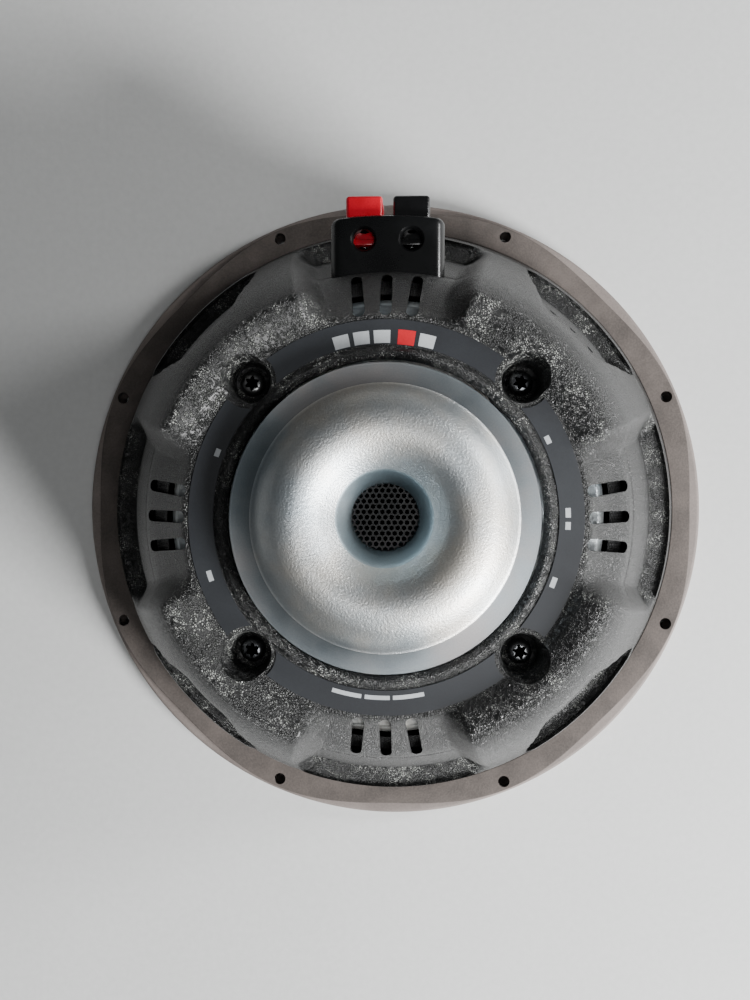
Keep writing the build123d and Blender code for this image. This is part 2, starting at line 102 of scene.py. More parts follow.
UPPER = Tier(84.0, 100.0, 103.0, 91.5, 93.3, 110.8, 94.5, 3.6)
LOWER = Tier(69.0, 84.0, 107.5, 76.5, 99.9, 113.2, 103.0, 3.0)
TERMINAL_X = 8.2
BUTTON_HALF = 6.4
BUTTON_H = 9.0
TRAVEL = 4.0
SCREW_RING = 60.0
BOLT_RING = 129.0


# ---------------------------------------------------------------------------
# Node helpers
# ---------------------------------------------------------------------------


def linear(code: str) -> tuple[float, float, float, float]:
    """Turn an sRGB hex colour into a linear RGBA colour.

    Args:
        code: Six hex digits, with or without a leading hash.

    Returns:
        Linear red, green, blue and an alpha of one.
    """
    digits = code.lstrip("#")
    channels = [int(digits[i:i + 2], 16) / 255 for i in (0, 2, 4)]
    bent = [c / 12.92 if c <= 0.04045 else ((c + 0.055) / 1.055) ** 2.4 for c in channels]
    return (bent[0], bent[1], bent[2], 1.0)


def add(
    tree: bpy.types.NodeTree, kind: str, inputs: dict | None = None, **settings: object
) -> bpy.types.Node:
    """Add a node to a tree with its settings and links.

    Args:
        tree: The tree that the node goes in.
        kind: The node's type name.
        inputs: Socket name or number to a plain value, or to a socket to link from.
        settings: Attributes set on the node itself.

    Returns:
        The new node.
    """
    made = tree.nodes.new(kind)
    for key, value in settings.items():
        setattr(made, key, value)
    for key, value in (inputs or {}).items():
        if isinstance(value, bpy.types.NodeSocket):
            tree.links.new(value, made.inputs[key])
        else:
            made.inputs[key].default_value = value
    return made


def ramp(
    tree: bpy.types.NodeTree, source: bpy.types.NodeSocket, stops: Sequence[tuple[float, str]]
) -> bpy.types.Node:
    """Add a colour ramp fed by a socket.

    Args:
        tree: The material's tree.
        source: The value that the ramp reads.
        stops: Position and hex colour of each stop, in order.

    Returns:
        The ramp node.
    """
    made = add(tree, "ShaderNodeValToRGB", {"Fac": source})
    elements = made.color_ramp.elements
    while len(elements) < len(stops):
        elements.new(0.5)
    for element, (position, code) in zip(elements, stops):
        element.position = position
        element.color = linear(code)
    return made


# ---------------------------------------------------------------------------
# Finishes
# ---------------------------------------------------------------------------


@dataclass(frozen=True)
class Finish:
    """A surface finish. Sub-classes paint the shader; this class makes the material once."""

    title: str

    def material(self) -> bpy.types.Material:
        """Return the finish's material, made on first use."""
        known = bpy.data.materials.get(self.title)
        if known:
            return known
        made = bpy.data.materials.new(self.title)
        made.use_nodes = True
        tree = made.node_tree
        tree.nodes.clear()
        shader = add(tree, "ShaderNodeBsdfPrincipled")
        add(tree, "ShaderNodeOutputMaterial", {"Surface": shader.outputs["BSDF"]})
        place = add(tree, "ShaderNodeTexCoord").outputs["Object"]
        self.paint(tree, shader, place)
        return made

    def paint(self, tree: bpy.types.NodeTree, shader: bpy.types.Node, place: bpy.types.NodeSocket) -> None:
        """Build the finish's own nodes."""
        raise NotImplementedError

    def bump(
        self, tree: bpy.types.NodeTree, shader: bpy.types.Node, height: bpy.types.NodeSocket, depth_mm: float
    ) -> None:
        """Drive the shader's normal from a height.

        Args:
            tree: The material's tree.
            shader: The principled shader.
            height: Height from zero to one.
            depth_mm: Depth of the relief in millimetres.
        """
        relief = add(tree, "ShaderNodeBump", {"Strength": 1.0, "Distance": depth_mm * MM, "Height": height})
        tree.links.new(relief.outputs["Normal"], shader.inputs["Normal"])


@dataclass(frozen=True)
class WrinkleCoat(Finish):
    """Black wrinkle powder coat on pressed steel.

    The baked film shrinks into hard glossy worms and pits, so close up the
    black breaks into bright glints. These are painted highlights: bright specks
    painted into the colour on the crests, whichever way a crest faces. A vertex
    attribute says how coarse it is.
    """

    title: str = "steel_black_wrinkle_powder_coat"
    wrinkle_mm: float = 1.0
    fine_mm: float = 0.42

    def paint(self, tree: bpy.types.NodeTree, shader: bpy.types.Node, place: bpy.types.NodeSocket) -> None:
        """Build the finish's own nodes."""
        coarse = add(tree, "ShaderNodeAttribute", attribute_name="coarse").outputs["Fac"]
        worms = add(tree, "ShaderNodeTexNoise", {
            "Vector": place, "Scale": 1 / (1.5 * self.wrinkle_mm * MM), "Detail": 4.0, "Roughness": 0.7,
            "Distortion": 0.8,
        })
        cells = add(tree, "ShaderNodeTexVoronoi", {
            "Vector": place, "Scale": 1 / (1.7 * self.fine_mm * MM), "Randomness": 1.0,
        }, feature="DISTANCE_TO_EDGE")
        patches = add(tree, "ShaderNodeTexNoise", {"Vector": place, "Scale": 1 / (9 * MM), "Detail": 4.0})
        net = add(
            tree, "ShaderNodeMapRange",
            {"Value": cells.outputs["Distance"], "From Min": 0.0, "From Max": 0.32}
        )
        crest = add(tree, "ShaderNodeMapRange", {
            "Value": worms.outputs["Fac"], "From Min": 0.42, "From Max": 0.60,
        })
        rough_height = add(
            tree, "ShaderNodeMath", {0: crest.outputs[0], 1: net.outputs[0]}, operation="MULTIPLY"
        )
        height = add(tree, "ShaderNodeMix", {
            0: coarse, 2: net.outputs[0], 3: rough_height.outputs[0],
        }, data_type="FLOAT")
        # Painted highlights: gate, speck and drift set how bright the painted glints are; coarse places get
        # the most.
        gate = add(tree, "ShaderNodeMapRange", {
            "Value": coarse, "From Min": 0.15, "From Max": 1.0, "To Min": 0.20, "To Max": 1.0,
        })
        speck = add(tree, "ShaderNodeMapRange", {
            "Value": rough_height.outputs[0], "From Min": 0.10, "From Max": 0.48,
        })
        speck_drift = add(tree, "ShaderNodeMapRange", {
            "Value": patches.outputs["Fac"], "From Min": 0.35, "From Max": 0.65, "To Min": 0.35,
            "To Max": 1.15,
        })
        first = add(tree, "ShaderNodeMath", {0: speck.outputs[0], 1: gate.outputs[0]}, operation="MULTIPLY")
        painted_glints = add(
            tree, "ShaderNodeMath", {0: first.outputs[0], 1: speck_drift.outputs[0]}, operation="MULTIPLY"
        )
        # The ramp's light stops paint the glints into the base colour as painted highlights.
        colour = ramp(
            tree, painted_glints.outputs[0], [(0.0, "#050606"), (0.35, "#121313"), (0.7, "#4d4f4c"), (1.0, "#a9aba6")]
        )
        tree.links.new(colour.outputs["Color"], shader.inputs["Base Color"])
        gloss = add(tree, "ShaderNodeMapRange", {
            "Value": height.outputs[0], "To Min": 0.46, "To Max": 0.30,
        })
        tree.links.new(gloss.outputs[0], shader.inputs["Roughness"])
        shader.inputs["Specular IOR Level"].default_value = 0.7
        depth = add(tree, "ShaderNodeMapRange", {"Value": coarse, "To Min": 0.36, "To Max": 0.46})
        scaled = add(
            tree, "ShaderNodeMath", {0: height.outputs[0], 1: depth.outputs[0]}, operation="MULTIPLY"
        )
        self.bump(tree, shader, scaled.outputs[0], 1.0)


@dataclass(frozen=True)
class Mottled(Finish):
    """A dielectric with a drifting colour and a fine grain.

    Serves moulded rubber, plastic, foam, paper, film and board, which differ
    in their colours, gloss and the size and depth of their grain.
    """

    title: str = "moulded_plastic"
    colours: tuple[str, str] = ("#141516", "#1f2021")
    roughness: tuple[float, float] = (0.35, 0.5)
    grain_mm: float = 0.6
    drift_mm: float = 18.0
    depth_mm: float = 0.03
    coat: float = 0.0
    specular: float = 0.5

    def paint(self, tree: bpy.types.NodeTree, shader: bpy.types.Node, place: bpy.types.NodeSocket) -> None:
        """Build the finish's own nodes."""
        drift = add(
            tree, "ShaderNodeTexNoise", {"Vector": place, "Scale": 1 / (self.drift_mm * MM), "Detail": 4.0}
        )
        grain = add(
            tree, "ShaderNodeTexNoise", {"Vector": place, "Scale": 1 / (self.grain_mm * MM), "Detail": 2.0}
        )
        both = add(tree, "ShaderNodeMix", {
            0: 0.35, 2: drift.outputs["Fac"], 3: grain.outputs["Fac"],
        }, data_type="FLOAT")
        colour = ramp(tree, both.outputs[0], [(0.36, self.colours[0]), (0.64, self.colours[1])])
        tree.links.new(colour.outputs["Color"], shader.inputs["Base Color"])
        gloss = add(tree, "ShaderNodeMapRange", {
            "Value": both.outputs[0], "From Min": 0.35, "From Max": 0.65,
            "To Min": self.roughness[0], "To Max": self.roughness[1],
        })
        tree.links.new(gloss.outputs[0], shader.inputs["Roughness"])
        shader.inputs["Specular IOR Level"].default_value = self.specular
        shader.inputs["Coat Weight"].default_value = self.coat
        shader.inputs["Coat Roughness"].default_value = 0.08
        self.bump(tree, shader, grain.outputs["Fac"], self.depth_mm)


@dataclass(frozen=True)
class PlatedSteel(Finish):
    """Grained zinc plating on forged steel.

    Blasting before plating leaves a fine even grain; the passivation film
    adds a faint drift between blue and straw. Handling leaves dull patches.
    """

    title: str = "steel_blasted_zinc_plated"
    colours: tuple[str, str, str] = ("#bcc6cc", "#d0d4d5", "#dad6ce")
    roughness: tuple[float, float] = (0.38, 0.48)
    grain_mm: float = 0.7
    depth_mm: float = 0.17
    turned: bool = False

    def paint(self, tree: bpy.types.NodeTree, shader: bpy.types.Node, place: bpy.types.NodeSocket) -> None:
        """Build the finish's own nodes."""
        drift = add(tree, "ShaderNodeTexNoise", {"Vector": place, "Scale": 1 / (26 * MM), "Detail": 5.0})
        colour = ramp(tree, drift.outputs["Fac"], [
            (0.34, self.colours[0]), (0.5, self.colours[1]), (0.66, self.colours[2]),
        ])
        grain = add(tree, "ShaderNodeTexNoise", {
            "Vector": place, "Scale": 1 / (self.grain_mm * MM), "Detail": 3.0, "Roughness": 0.7,
        })
        height = grain.outputs["Fac"]
        if self.turned:
            spread = add(tree, "ShaderNodeVectorMath", {0: place, 1: (1, 1, 0)}, operation="MULTIPLY")
            radius = add(tree, "ShaderNodeVectorMath", {0: spread.outputs[0]}, operation="LENGTH")
            grooves = add(tree, "ShaderNodeTexNoise", {
                "W": radius.outputs["Value"], "Scale": 1 / (0.35 * MM), "Detail": 2.0,
            }, noise_dimensions="1D")
            mixed = add(tree, "ShaderNodeMix", {
                0: 0.6, 2: height, 3: grooves.outputs["Fac"],
            }, data_type="FLOAT")
            height = mixed.outputs[0]
        speckle = add(tree, "ShaderNodeMapRange", {
            "Value": grain.outputs["Fac"], "From Min": 0.3, "From Max": 0.7, "To Min": 0.90, "To Max": 1.05,
        })
        shade = add(tree, "ShaderNodeMix", {
            0: 1.0, 6: colour.outputs["Color"], 7: speckle.outputs[0],
        }, data_type="RGBA", blend_type="MULTIPLY")
        tree.links.new(shade.outputs[2], shader.inputs["Base Color"])
        shader.inputs["Metallic"].default_value = 1.0
        gloss = add(tree, "ShaderNodeMapRange", {
            "Value": drift.outputs["Fac"], "From Min": 0.3, "From Max": 0.7,
            "To Min": self.roughness[0], "To Max": self.roughness[1],
        })
        tree.links.new(gloss.outputs[0], shader.inputs["Roughness"])
        self.bump(tree, shader, height, self.depth_mm)


@dataclass(frozen=True)
class CoilWire(Finish):
    """Enamelled copper wire, wound turn on turn.

    The enamel is a clear amber film, so the metal reads warm and slick.
    """

    title: str = "copper_enamelled_wire"
    colour: str = "#b5653a"

    def paint(self, tree: bpy.types.NodeTree, shader: bpy.types.Node, place: bpy.types.NodeSocket) -> None:
        """Build the finish's own nodes."""
        drift = add(tree, "ShaderNodeTexNoise", {"Vector": place, "Scale": 1 / (6 * MM), "Detail": 2.0})
        colour = ramp(tree, drift.outputs["Fac"], [(0.3, "#8f4a28"), (0.7, self.colour)])
        tree.links.new(colour.outputs["Color"], shader.inputs["Base Color"])
        shader.inputs["Metallic"].default_value = 1.0
        shader.inputs["Roughness"].default_value = 0.3
        shader.inputs["Coat Weight"].default_value = 0.6
        self.bump(tree, shader, drift.outputs["Fac"], 0.01)


@dataclass(frozen=True)
class WovenCloth(Finish):
    """Phenolic-stiffened cotton cloth of the spider: a coarse amber weave."""

    title: str = "cotton_phenolic_woven_cloth"
    thread_mm: float = 0.8

    def paint(self, tree: bpy.types.NodeTree, shader: bpy.types.Node, place: bpy.types.NodeSocket) -> None:
        """Build the finish's own nodes."""
        waves = []
        for direction in ("X", "Y"):
            made = add(tree, "ShaderNodeTexWave", {
                "Vector": place, "Scale": 1 / (self.thread_mm * MM) / 6.3, "Distortion": 0.6,
            }, bands_direction=direction)
            waves.append(made.outputs["Fac"])
        height = add(tree, "ShaderNodeMath", {0: waves[0], 1: waves[1]}, operation="MULTIPLY")
        colour = ramp(tree, height.outputs[0], [(0.0, "#6d4a1c"), (1.0, "#c99a52")])
        tree.links.new(colour.outputs["Color"], shader.inputs["Base Color"])
        shader.inputs["Roughness"].default_value = 0.75
        self.bump(tree, shader, height.outputs[0], 0.15)


class Finishes:
    """Every finish on the driver, named for its real material and process."""

    # Wrinkle powder coat: hard black film with glittering crests.
    coat = WrinkleCoat()
    # Closed-cell foam gasket: matte, faintly warm, with fine pores.
    foam = Mottled("eva_foam_die_cut", ("#4b4643", "#625b57"), (0.82, 0.95), 0.8, 14.0, 0.10, 0.0, 0.25)
    # Moulded rubber trim: lighter and a little smoother than the foam.
    trim = Mottled(
        "epdm_rubber_moulded_grey", ("#6f6763", "#857c77"), (0.6, 0.75), 0.7, 24.0, 0.04, 0.0, 0.35
    )
    # Butyl rubber surround: satin black with a soft bloom.
    butyl = Mottled(
        "butyl_rubber_moulded_black", ("#131313", "#1e1e1e"), (0.42, 0.58), 0.9, 20.0, 0.03, 0.0, 0.45
    )
    # Pressed fibre cone: matte black with visible fibres.
    fibre = Mottled(
        "paper_fibre_pressed_black", ("#121212", "#242424"), (0.62, 0.8), 1.2, 9.0, 0.12, 0.0, 0.3
    )
    # Moulded ABS: satin black with a faint spark-eroded grain.
    abs_satin = Mottled(
        "abs_moulded_satin_black", ("#08090a", "#101112"), (0.24, 0.34), 0.45, 15.0, 0.012, 0.0, 0.5
    )
    # Glossy red ABS: saturated through and polished by its mould.
    abs_red = Mottled(
        "abs_moulded_gloss_red", ("#c60c22", "#dc152e"), (0.18, 0.26), 0.6, 8.0, 0.006, 0.35, 0.5
    )
    # Glossy black ABS, as the red.
    abs_black = Mottled(
        "abs_moulded_gloss_black", ("#0b0b0c", "#121213"), (0.16, 0.24), 0.6, 8.0, 0.006, 0.35, 0.5
    )
    # Printed label film: smooth satin slate.
    film = Mottled(
        "polyester_film_slate_print", ("#1f2125", "#292c30"), (0.46, 0.56), 0.5, 25.0, 0.004, 0.0, 0.45
    )
    # Print on the label film.
    print_light = Mottled(
        "polyester_film_grey_print", ("#a9adb0", "#b9bdbf"), (0.45, 0.55), 0.5, 9.0, 0.002, 0.0, 0.4
    )
    print_red = Mottled(
        "polyester_film_red_print", ("#b81822", "#cc1f2b"), (0.4, 0.5), 0.5, 9.0, 0.002, 0.0, 0.4
    )
    # Sintered ferrite: dull charcoal with grinding drift.
    ferrite = Mottled(
        "ferrite_sintered_ground", ("#25262a", "#38393d"), (0.5, 0.7), 0.8, 12.0, 0.05, 0.0, 0.5
    )
    # Black-painted wire of the dust meshes.
    wire = Mottled("steel_wire_black_painted", ("#0c0c0d", "#1a1a1b"), (0.35, 0.5), 0.5, 6.0, 0.01, 0.0, 0.5)
    # Phenolic board of the lead tags.
    phenolic = Mottled(
        "phenolic_paper_laminate", ("#5a3216", "#74441f"), (0.45, 0.6), 0.8, 10.0, 0.01, 0.0, 0.5
    )
    # Grained zinc of the forged bump and its turned rim; painted shade as a darker, bluer zinc in the vent.
    zinc = PlatedSteel()
    zinc_rim = PlatedSteel(
        "steel_turned_zinc_plated", ("#7f898f", "#959ca0", "#a19f9f"), (0.30, 0.42), 0.5, 0.02, True
    )
    zinc_vent_painted_shade = PlatedSteel(
        "steel_zinc_plated_painted_vent_shade", ("#9fb0b8", "#b0bec4", "#bcc5c8"), (0.42, 0.55), 0.5, 0.02
    )
    # Turned aluminium of the shorting ring and the rolled former.
    aluminium = PlatedSteel(
        "aluminium_turned", ("#b9bcbf", "#c9cbcd", "#d2d2d0"), (0.28, 0.38), 0.5, 0.01, True
    )
    # Black-oxide screws: blue-black conversion film over bright steel.
    black_oxide = PlatedSteel(
        "steel_black_oxide", ("#6d6f73", "#85878a", "#989896"), (0.20, 0.32), 0.5, 0.012
    )
    # Bright drawn spring wire.
    spring = PlatedSteel(
        "steel_drawn_spring_wire", ("#9b9d9f", "#b2b4b5", "#c0c0be"), (0.22, 0.3), 0.4, 0.005
    )
    # Plated brass contacts and tinned copper braid.
    brass = PlatedSteel("brass_tin_plated", ("#a8916a", "#bba47c", "#c9b48e"), (0.25, 0.36), 0.5, 0.01)
    tinsel = PlatedSteel("copper_tinned_braid", ("#a79a85", "#b9ae9b", "#c8c1b2"), (0.35, 0.5), 0.6, 0.12)
    copper = CoilWire()
    cloth = WovenCloth()
    # Painted studio floor.
    floor = Mottled("plaster_painted_pale", ("#c9cac9", "#d2d3d2"), (0.7, 0.85), 3.0, 240.0, 0.05, 0.0, 0.3)


# ---------------------------------------------------------------------------
# Mesh helpers
# ---------------------------------------------------------------------------


def object_from(name: str, mesh: bpy.types.Mesh, material: bpy.types.Material | None) -> bpy.types.Object:
    """Put a mesh in the scene as an object at the origin with one material."""
    made = bpy.data.objects.new(name, mesh)
    bpy.context.scene.collection.objects.link(made)
    if material:
        mesh.materials.clear()
        mesh.materials.append(material)
    return made


def sheet_mesh(
    name: str, rows: Sequence[Sequence[Point]], loop_rows: bool, loop_columns: bool
) -> bpy.types.Mesh:
    """Make a grid mesh from rows of points in metres.

    Args:
        name: Name of the mesh.
        rows: Rows of points, all the same length.
        loop_rows: Join the last row to the first.
        loop_columns: Join each row's end to its start.

    Returns:
        A mesh of quads, as built from the rows.
    """
    width = len(rows[0])
    points = [p for row in rows for p in row]
    faces = []
    for j in range(len(rows) if loop_rows else len(rows) - 1):
        below = j * width
        above = ((j + 1) % len(rows)) * width
        for i in range(width if loop_columns else width - 1):
            k = (i + 1) % width
            faces.append((below + i, below + k, above + k, above + i))
    mesh = bpy.data.meshes.new(name)
    mesh.from_pydata(points, [], faces)
    mesh.update()
    return mesh


def tidy_mesh(mesh: bpy.types.Mesh, smooth_below: float = 32.0, merge_mm: float = 0.0005) -> None:
    """Merge doubles, drop empty faces, turn faces outwards and shade the mesh.

    Args:
        mesh: The mesh to tidy.
        smooth_below: Edges sharper than this angle in degrees stay hard.
        merge_mm: Points closer than this are merged.
    """
    work = bmesh.new()
    work.from_mesh(mesh)
    bmesh.ops.remove_doubles(work, verts=work.verts, dist=merge_mm * MM)
    bmesh.ops.dissolve_degenerate(work, edges=work.edges, dist=1e-8)
    bmesh.ops.recalc_face_normals(work, faces=work.faces)
    limit = math.radians(smooth_below)
    for face in work.faces:
        face.smooth = True
    for edge in work.edges:
        edge.smooth = not (edge.is_manifold and edge.calc_face_angle(0.0) > limit)
    work.to_mesh(mesh)
    work.free()


def close_ends(mesh: bpy.types.Mesh) -> None:
    """Fill the open ends of a sheet, which makes it a closed solid."""
    work = bmesh.new()
    work.from_mesh(mesh)
    bmesh.ops.holes_fill(work, edges=[e for e in work.edges if e.is_boundary], sides=0)
    work.to_mesh(mesh)
    work.free()


def rounded(
    corners: Sequence[tuple[float, float, float]], closed: bool = True, steps: int = 5
) -> list[tuple[float, float]]:
    """Round the corners of an outline.

    Args:
        corners: Radius, height and corner radius of each corner, in millimetres.
        closed: The outline returns to its start.
        steps: Points on each rounded corner, less one.

    Returns:
        The outline's points in millimetres.
    """
    outline: list[tuple[float, float]] = []
    count = len(corners)
    for i, (r, z, bend) in enumerate(corners):
        here = Vector((r, z))
        if bend <= 0 or (not closed and i in (0, count - 1)):
            outline.append((r, z))
            continue
        back = Vector(corners[i - 1][:2]) - here
        on = Vector(corners[(i + 1) % count][:2]) - here
        reach = min(bend, 0.48 * back.length, 0.48 * on.length)
        start = here + back.normalized() * reach
        end = here + on.normalized() * reach
        for k in range(steps + 1):
            t = k / steps
            point = start * (1 - t) ** 2 + here * 2 * t * (1 - t) + end * t * t
            outline.append((point.x, point.y))
    return outline


def flow(points: Sequence[tuple[float, float]], per_span: int) -> list[tuple[float, float]]:
    """Draw a smooth curve through points (Catmull-Rom), ends included.

    Args:
        points: The points that the curve passes through.
        per_span: Samples on each span.

    Returns:
        The curve's points.
    """
    padded = [points[0], *points, points[-1]]
    curve = []
    for i in range(1, len(padded) - 2):
        p0, p1, p2, p3 = (Vector(p) for p in padded[i - 1:i + 3])
        for k in range(per_span):
            t = k / per_span
            curve.append(0.5 * (
                2 * p1 + (p2 - p0) * t + (2 * p0 - 5 * p1 + 4 * p2 - p3) * t * t
                + (3 * p1 - p0 - 3 * p2 + p3) * t ** 3
            ))
    curve.append(Vector(points[-1]))
    return [tuple(p) for p in curve]


def lathe(
    name: str, outline: Profile, material: bpy.types.Material | None, segments: int = 256,
    closed: bool = True,
    start: float = 0.0, sweep: float = 360.0, stretch: Callable[[float, float], float] | None = None,
    smooth_below: float = 32.0, centre: tuple[float, float] = (0.0, 0.0),
) -> bpy.types.Object:
    """Turn an outline about the Z axis.

    Args:
        name: Name of the piece.
        outline: Radius and height points in millimetres.
        material: The piece's material.
        segments: Facets in the sweep.
        closed: Join the outline's end to its start.
        start: Angle of the first facet, in degrees from +X.
        sweep: Angle swept, in degrees.
        stretch: Gives a new radius for a radius and an angle in degrees, for wavy edges.
        smooth_below: Edges sharper than this angle stay hard.
        centre: Where the axis stands, in millimetres.

    Returns:
        The piece.
    """
    whole = sweep >= 359.99
    columns = segments if whole else segments + 1
    angles = [start + sweep * i / segments for i in range(columns)]
    rows = []
    for r, z in outline:
        row = []
        for angle in angles:
            radius = stretch(r, angle) if stretch else r
            turn = math.radians(angle)
            x = centre[0] + radius * math.cos(turn)
            y = centre[1] + radius * math.sin(turn)
            row.append((x * MM, y * MM, z * MM))
        rows.append(row)
    mesh = sheet_mesh(name, rows, closed, whole)
    if closed and not whole:
        close_ends(mesh)
    tidy_mesh(mesh, smooth_below)
    return object_from(name, mesh, material)


def apply_modifiers(piece: bpy.types.Object) -> None:
    """Bake a piece's modifiers into its mesh and remove them."""
    seen = piece.evaluated_get(bpy.context.evaluated_depsgraph_get())
    mesh = bpy.data.meshes.new_from_object(seen)
    piece.modifiers.clear()
    old = piece.data
    piece.data = mesh
    bpy.data.meshes.remove(old)


def carve(
    piece: bpy.types.Object, cutters: Iterable[bpy.types.Object], operation: str = "DIFFERENCE"
) -> None:
    """Cut closed cutters out of a closed piece, or join them to it.

    Args:
        piece: The piece to change.
        cutters: Closed meshes, deleted afterwards.
        operation: DIFFERENCE, UNION or INTERSECT.
    """
    for cutter in cutters:
        change = piece.modifiers.new("carve", "BOOLEAN")
        change.object = cutter
        change.operation = operation
        change.solver = "EXACT"
        apply_modifiers(piece)
        bpy.data.objects.remove(cutter)


def merge(
    name: str, parts: Sequence[bpy.types.Object], material: bpy.types.Material | None = None
) -> bpy.types.Object:
    """Join pieces into one object, keeping their materials."""
    work = bmesh.new()
    materials: list[bpy.types.Material] = []
    for part in parts:
        shift = len(materials)
        for item in part.data.materials:
            materials.append(item)
        first = len(work.faces)
        work.from_mesh(part.data)
        work.faces.ensure_lookup_table()
        for face in work.faces[first:]:
            face.material_index += shift
    mesh = bpy.data.meshes.new(name)
    work.to_mesh(mesh)
    work.free()
    for part in parts:
        bpy.data.objects.remove(part)
    made = object_from(name, mesh, None)
    if material:
        mesh.materials.append(material)
        for face in mesh.polygons:
            face.material_index = 0
    else:
        for item in materials:
            mesh.materials.append(item)
    return made


def block(
    name: str, low: Point, high: Point, material: bpy.types.Material | None, bevel: float = 0.0,
    segments: int = 3,
) -> bpy.types.Object:
    """Make a box between two corners in millimetres, with rounded edges."""
    work = bmesh.new()
    centre = [(a + b) / 2 * MM for a, b in zip(low, high)]
    size = [(b - a) * MM for a, b in zip(low, high)]
    fitted = Matrix.Translation(centre) @ Matrix.Diagonal((*size, 1.0))
    bmesh.ops.create_cube(work, size=1.0, matrix=fitted)
    if bevel:
        bmesh.ops.bevel(
            work, geom=work.edges[:], offset=bevel * MM, segments=segments, profile=0.5, affect="EDGES"
        )
    mesh = bpy.data.meshes.new(name)
    work.to_mesh(mesh)
    work.free()
    tidy_mesh(mesh, 50.0)
    return object_from(name, mesh, material)


def prism(
    name: str, outline: Sequence[Point], reach: Point, material: bpy.types.Material | None = None
) -> bpy.types.Object:
    """Extrude a flat outline in millimetres along a vector in millimetres."""
    work = bmesh.new()
    ring = [work.verts.new([c * MM for c in p]) for p in outline]
    face = work.faces.new(ring)
    grown = bmesh.ops.extrude_face_region(work, geom=[face])["geom"]
    bmesh.ops.translate(
        work, verts=[g for g in grown if isinstance(g, bmesh.types.BMVert)], vec=[c * MM for c in reach]
    )
    mesh = bpy.data.meshes.new(name)
    work.to_mesh(mesh)
    work.free()
    tidy_mesh(mesh)
    return object_from(name, mesh, material)


def disc_outline(
    x: float, y: float, z: float, radius: float, count: int = 32, upright: bool = True
) -> list[Point]:
    """Points of a circle in millimetres, in the XY plane or, if not upright, in the XZ plane."""
    turns = [2 * math.pi * k / count for k in range(count)]
    if upright:
        return [(x + radius * math.cos(t), y + radius * math.sin(t), z) for t in turns]
    return [(x + radius * math.cos(t), y, z + radius * math.sin(t)) for t in turns]


def smoothstep(low: float, high: float, value: float) -> float:
    """Ease from zero at low to one at high; low may be the larger."""
    t = min(1.0, max(0.0, (value - low) / (high - low)))
    return t * t * (3 - 2 * t)


# ---------------------------------------------------------------------------
# Geometry Nodes helpers
# ---------------------------------------------------------------------------


class Tree:
    """A Geometry Nodes tree in the making, with named inputs."""

    def __init__(self, name: str) -> None:
        """Start a tree that takes and gives geometry."""
        self.group = bpy.data.node_groups.new(name, "GeometryNodeTree")
        self.group.interface.new_socket("Geometry", in_out="INPUT", socket_type="NodeSocketGeometry")
        self.group.interface.new_socket("Geometry", in_out="OUTPUT", socket_type="NodeSocketGeometry")
        self.source: bpy.types.Node | None = None

    def input(self, name: str, kind: str = "NodeSocketFloat") -> None:
        """Declare a named input."""
        self.group.interface.new_socket(name, in_out="INPUT", socket_type=kind)

    def start(self) -> bpy.types.Node:
        """Place the group's input node once all inputs are declared."""
        self.source = self.group.nodes.new("NodeGroupInput")
        return self.source

    def add(self, kind: str, inputs: dict | None = None, **settings: object) -> bpy.types.Node:
        """Add a node, as the function add does."""
        return add(self.group, kind, inputs, **settings)

    def finish(self, geometry: bpy.types.NodeSocket, material: bpy.types.Material) -> None:
        """End the tree with Realize Instances and Set Material."""
        real = self.add("GeometryNodeRealizeInstances", {0: geometry})
        dressed = self.add("GeometryNodeSetMaterial", {"Geometry": real.outputs[0], "Material": material})
        end = self.group.nodes.new("NodeGroupOutput")
        self.group.links.new(dressed.outputs[0], end.inputs[0])

    def run(self, piece: bpy.types.Object, values: dict[str, object]) -> bpy.types.Object:
        """Run the tree on a piece and keep the result as a plain mesh.

        Args:
            piece: The object whose mesh enters the tree.
            values: Value of each named input.

        Returns:
            The same piece with its finished mesh.
        """
        made = piece.modifiers.new("nodes", "NODES")
        made.node_group = self.group
        for item in self.group.interface.items_tree:
            if item.in_out == "INPUT" and item.name in values:
                made[item.identifier] = values[item.name]
        apply_modifiers(piece)
        return piece


def ring_tree(material: bpy.types.Material) -> Tree:
    """Tree that sets copies of a part on a circle about the Z axis.

    The part is modelled at the origin. Each copy is turned with the circle,
    and may be turned at random about its own axis, as a driven screw is.

    Args:
        material: Material of the finished copies.

    Returns:
        The tree, with inputs Count, Radius, Height, Start and Scatter.
    """
    tree = Tree("ring_of_parts")
    tree.input("Count", "NodeSocketInt")
    tree.input("Radius")
    tree.input("Height")
    tree.input("Start")
    tree.input("Scatter")
    start = tree.start()
    circle = tree.add("GeometryNodeMeshCircle", {
        "Vertices": start.outputs["Count"], "Radius": start.outputs["Radius"],
    })
    lift = tree.add("ShaderNodeCombineXYZ", {"Z": start.outputs["Height"]})
    turn = tree.add("ShaderNodeCombineXYZ", {"Z": start.outputs["Start"]})
    placed = tree.add("GeometryNodeTransform", {
        "Geometry": circle.outputs["Mesh"], "Translation": lift.outputs[0], "Rotation": turn.outputs[0],
    })
    place = tree.add("GeometryNodeInputPosition")
    axes = tree.add("ShaderNodeSeparateXYZ", {0: place.outputs[0]})
    bearing = tree.add("ShaderNodeMath", {
        0: axes.outputs["Y"], 1: axes.outputs["X"],
    }, operation="ARCTAN2")
    chance = tree.add("FunctionNodeRandomValue", {"Seed": SEED}, data_type="FLOAT")
    spin = tree.add("ShaderNodeMath", {
        0: chance.outputs[1], 1: start.outputs["Scatter"], 2: bearing.outputs[0],
    }, operation="MULTIPLY_ADD")
    angle = tree.add("ShaderNodeCombineXYZ", {"Z": spin.outputs[0]})
    copies = tree.add("GeometryNodeInstanceOnPoints", {
        "Points": placed.outputs[0], "Instance": start.outputs["Geometry"], "Rotation": angle.outputs[0],
    })
    tree.finish(copies.outputs[0], material)
    return tree


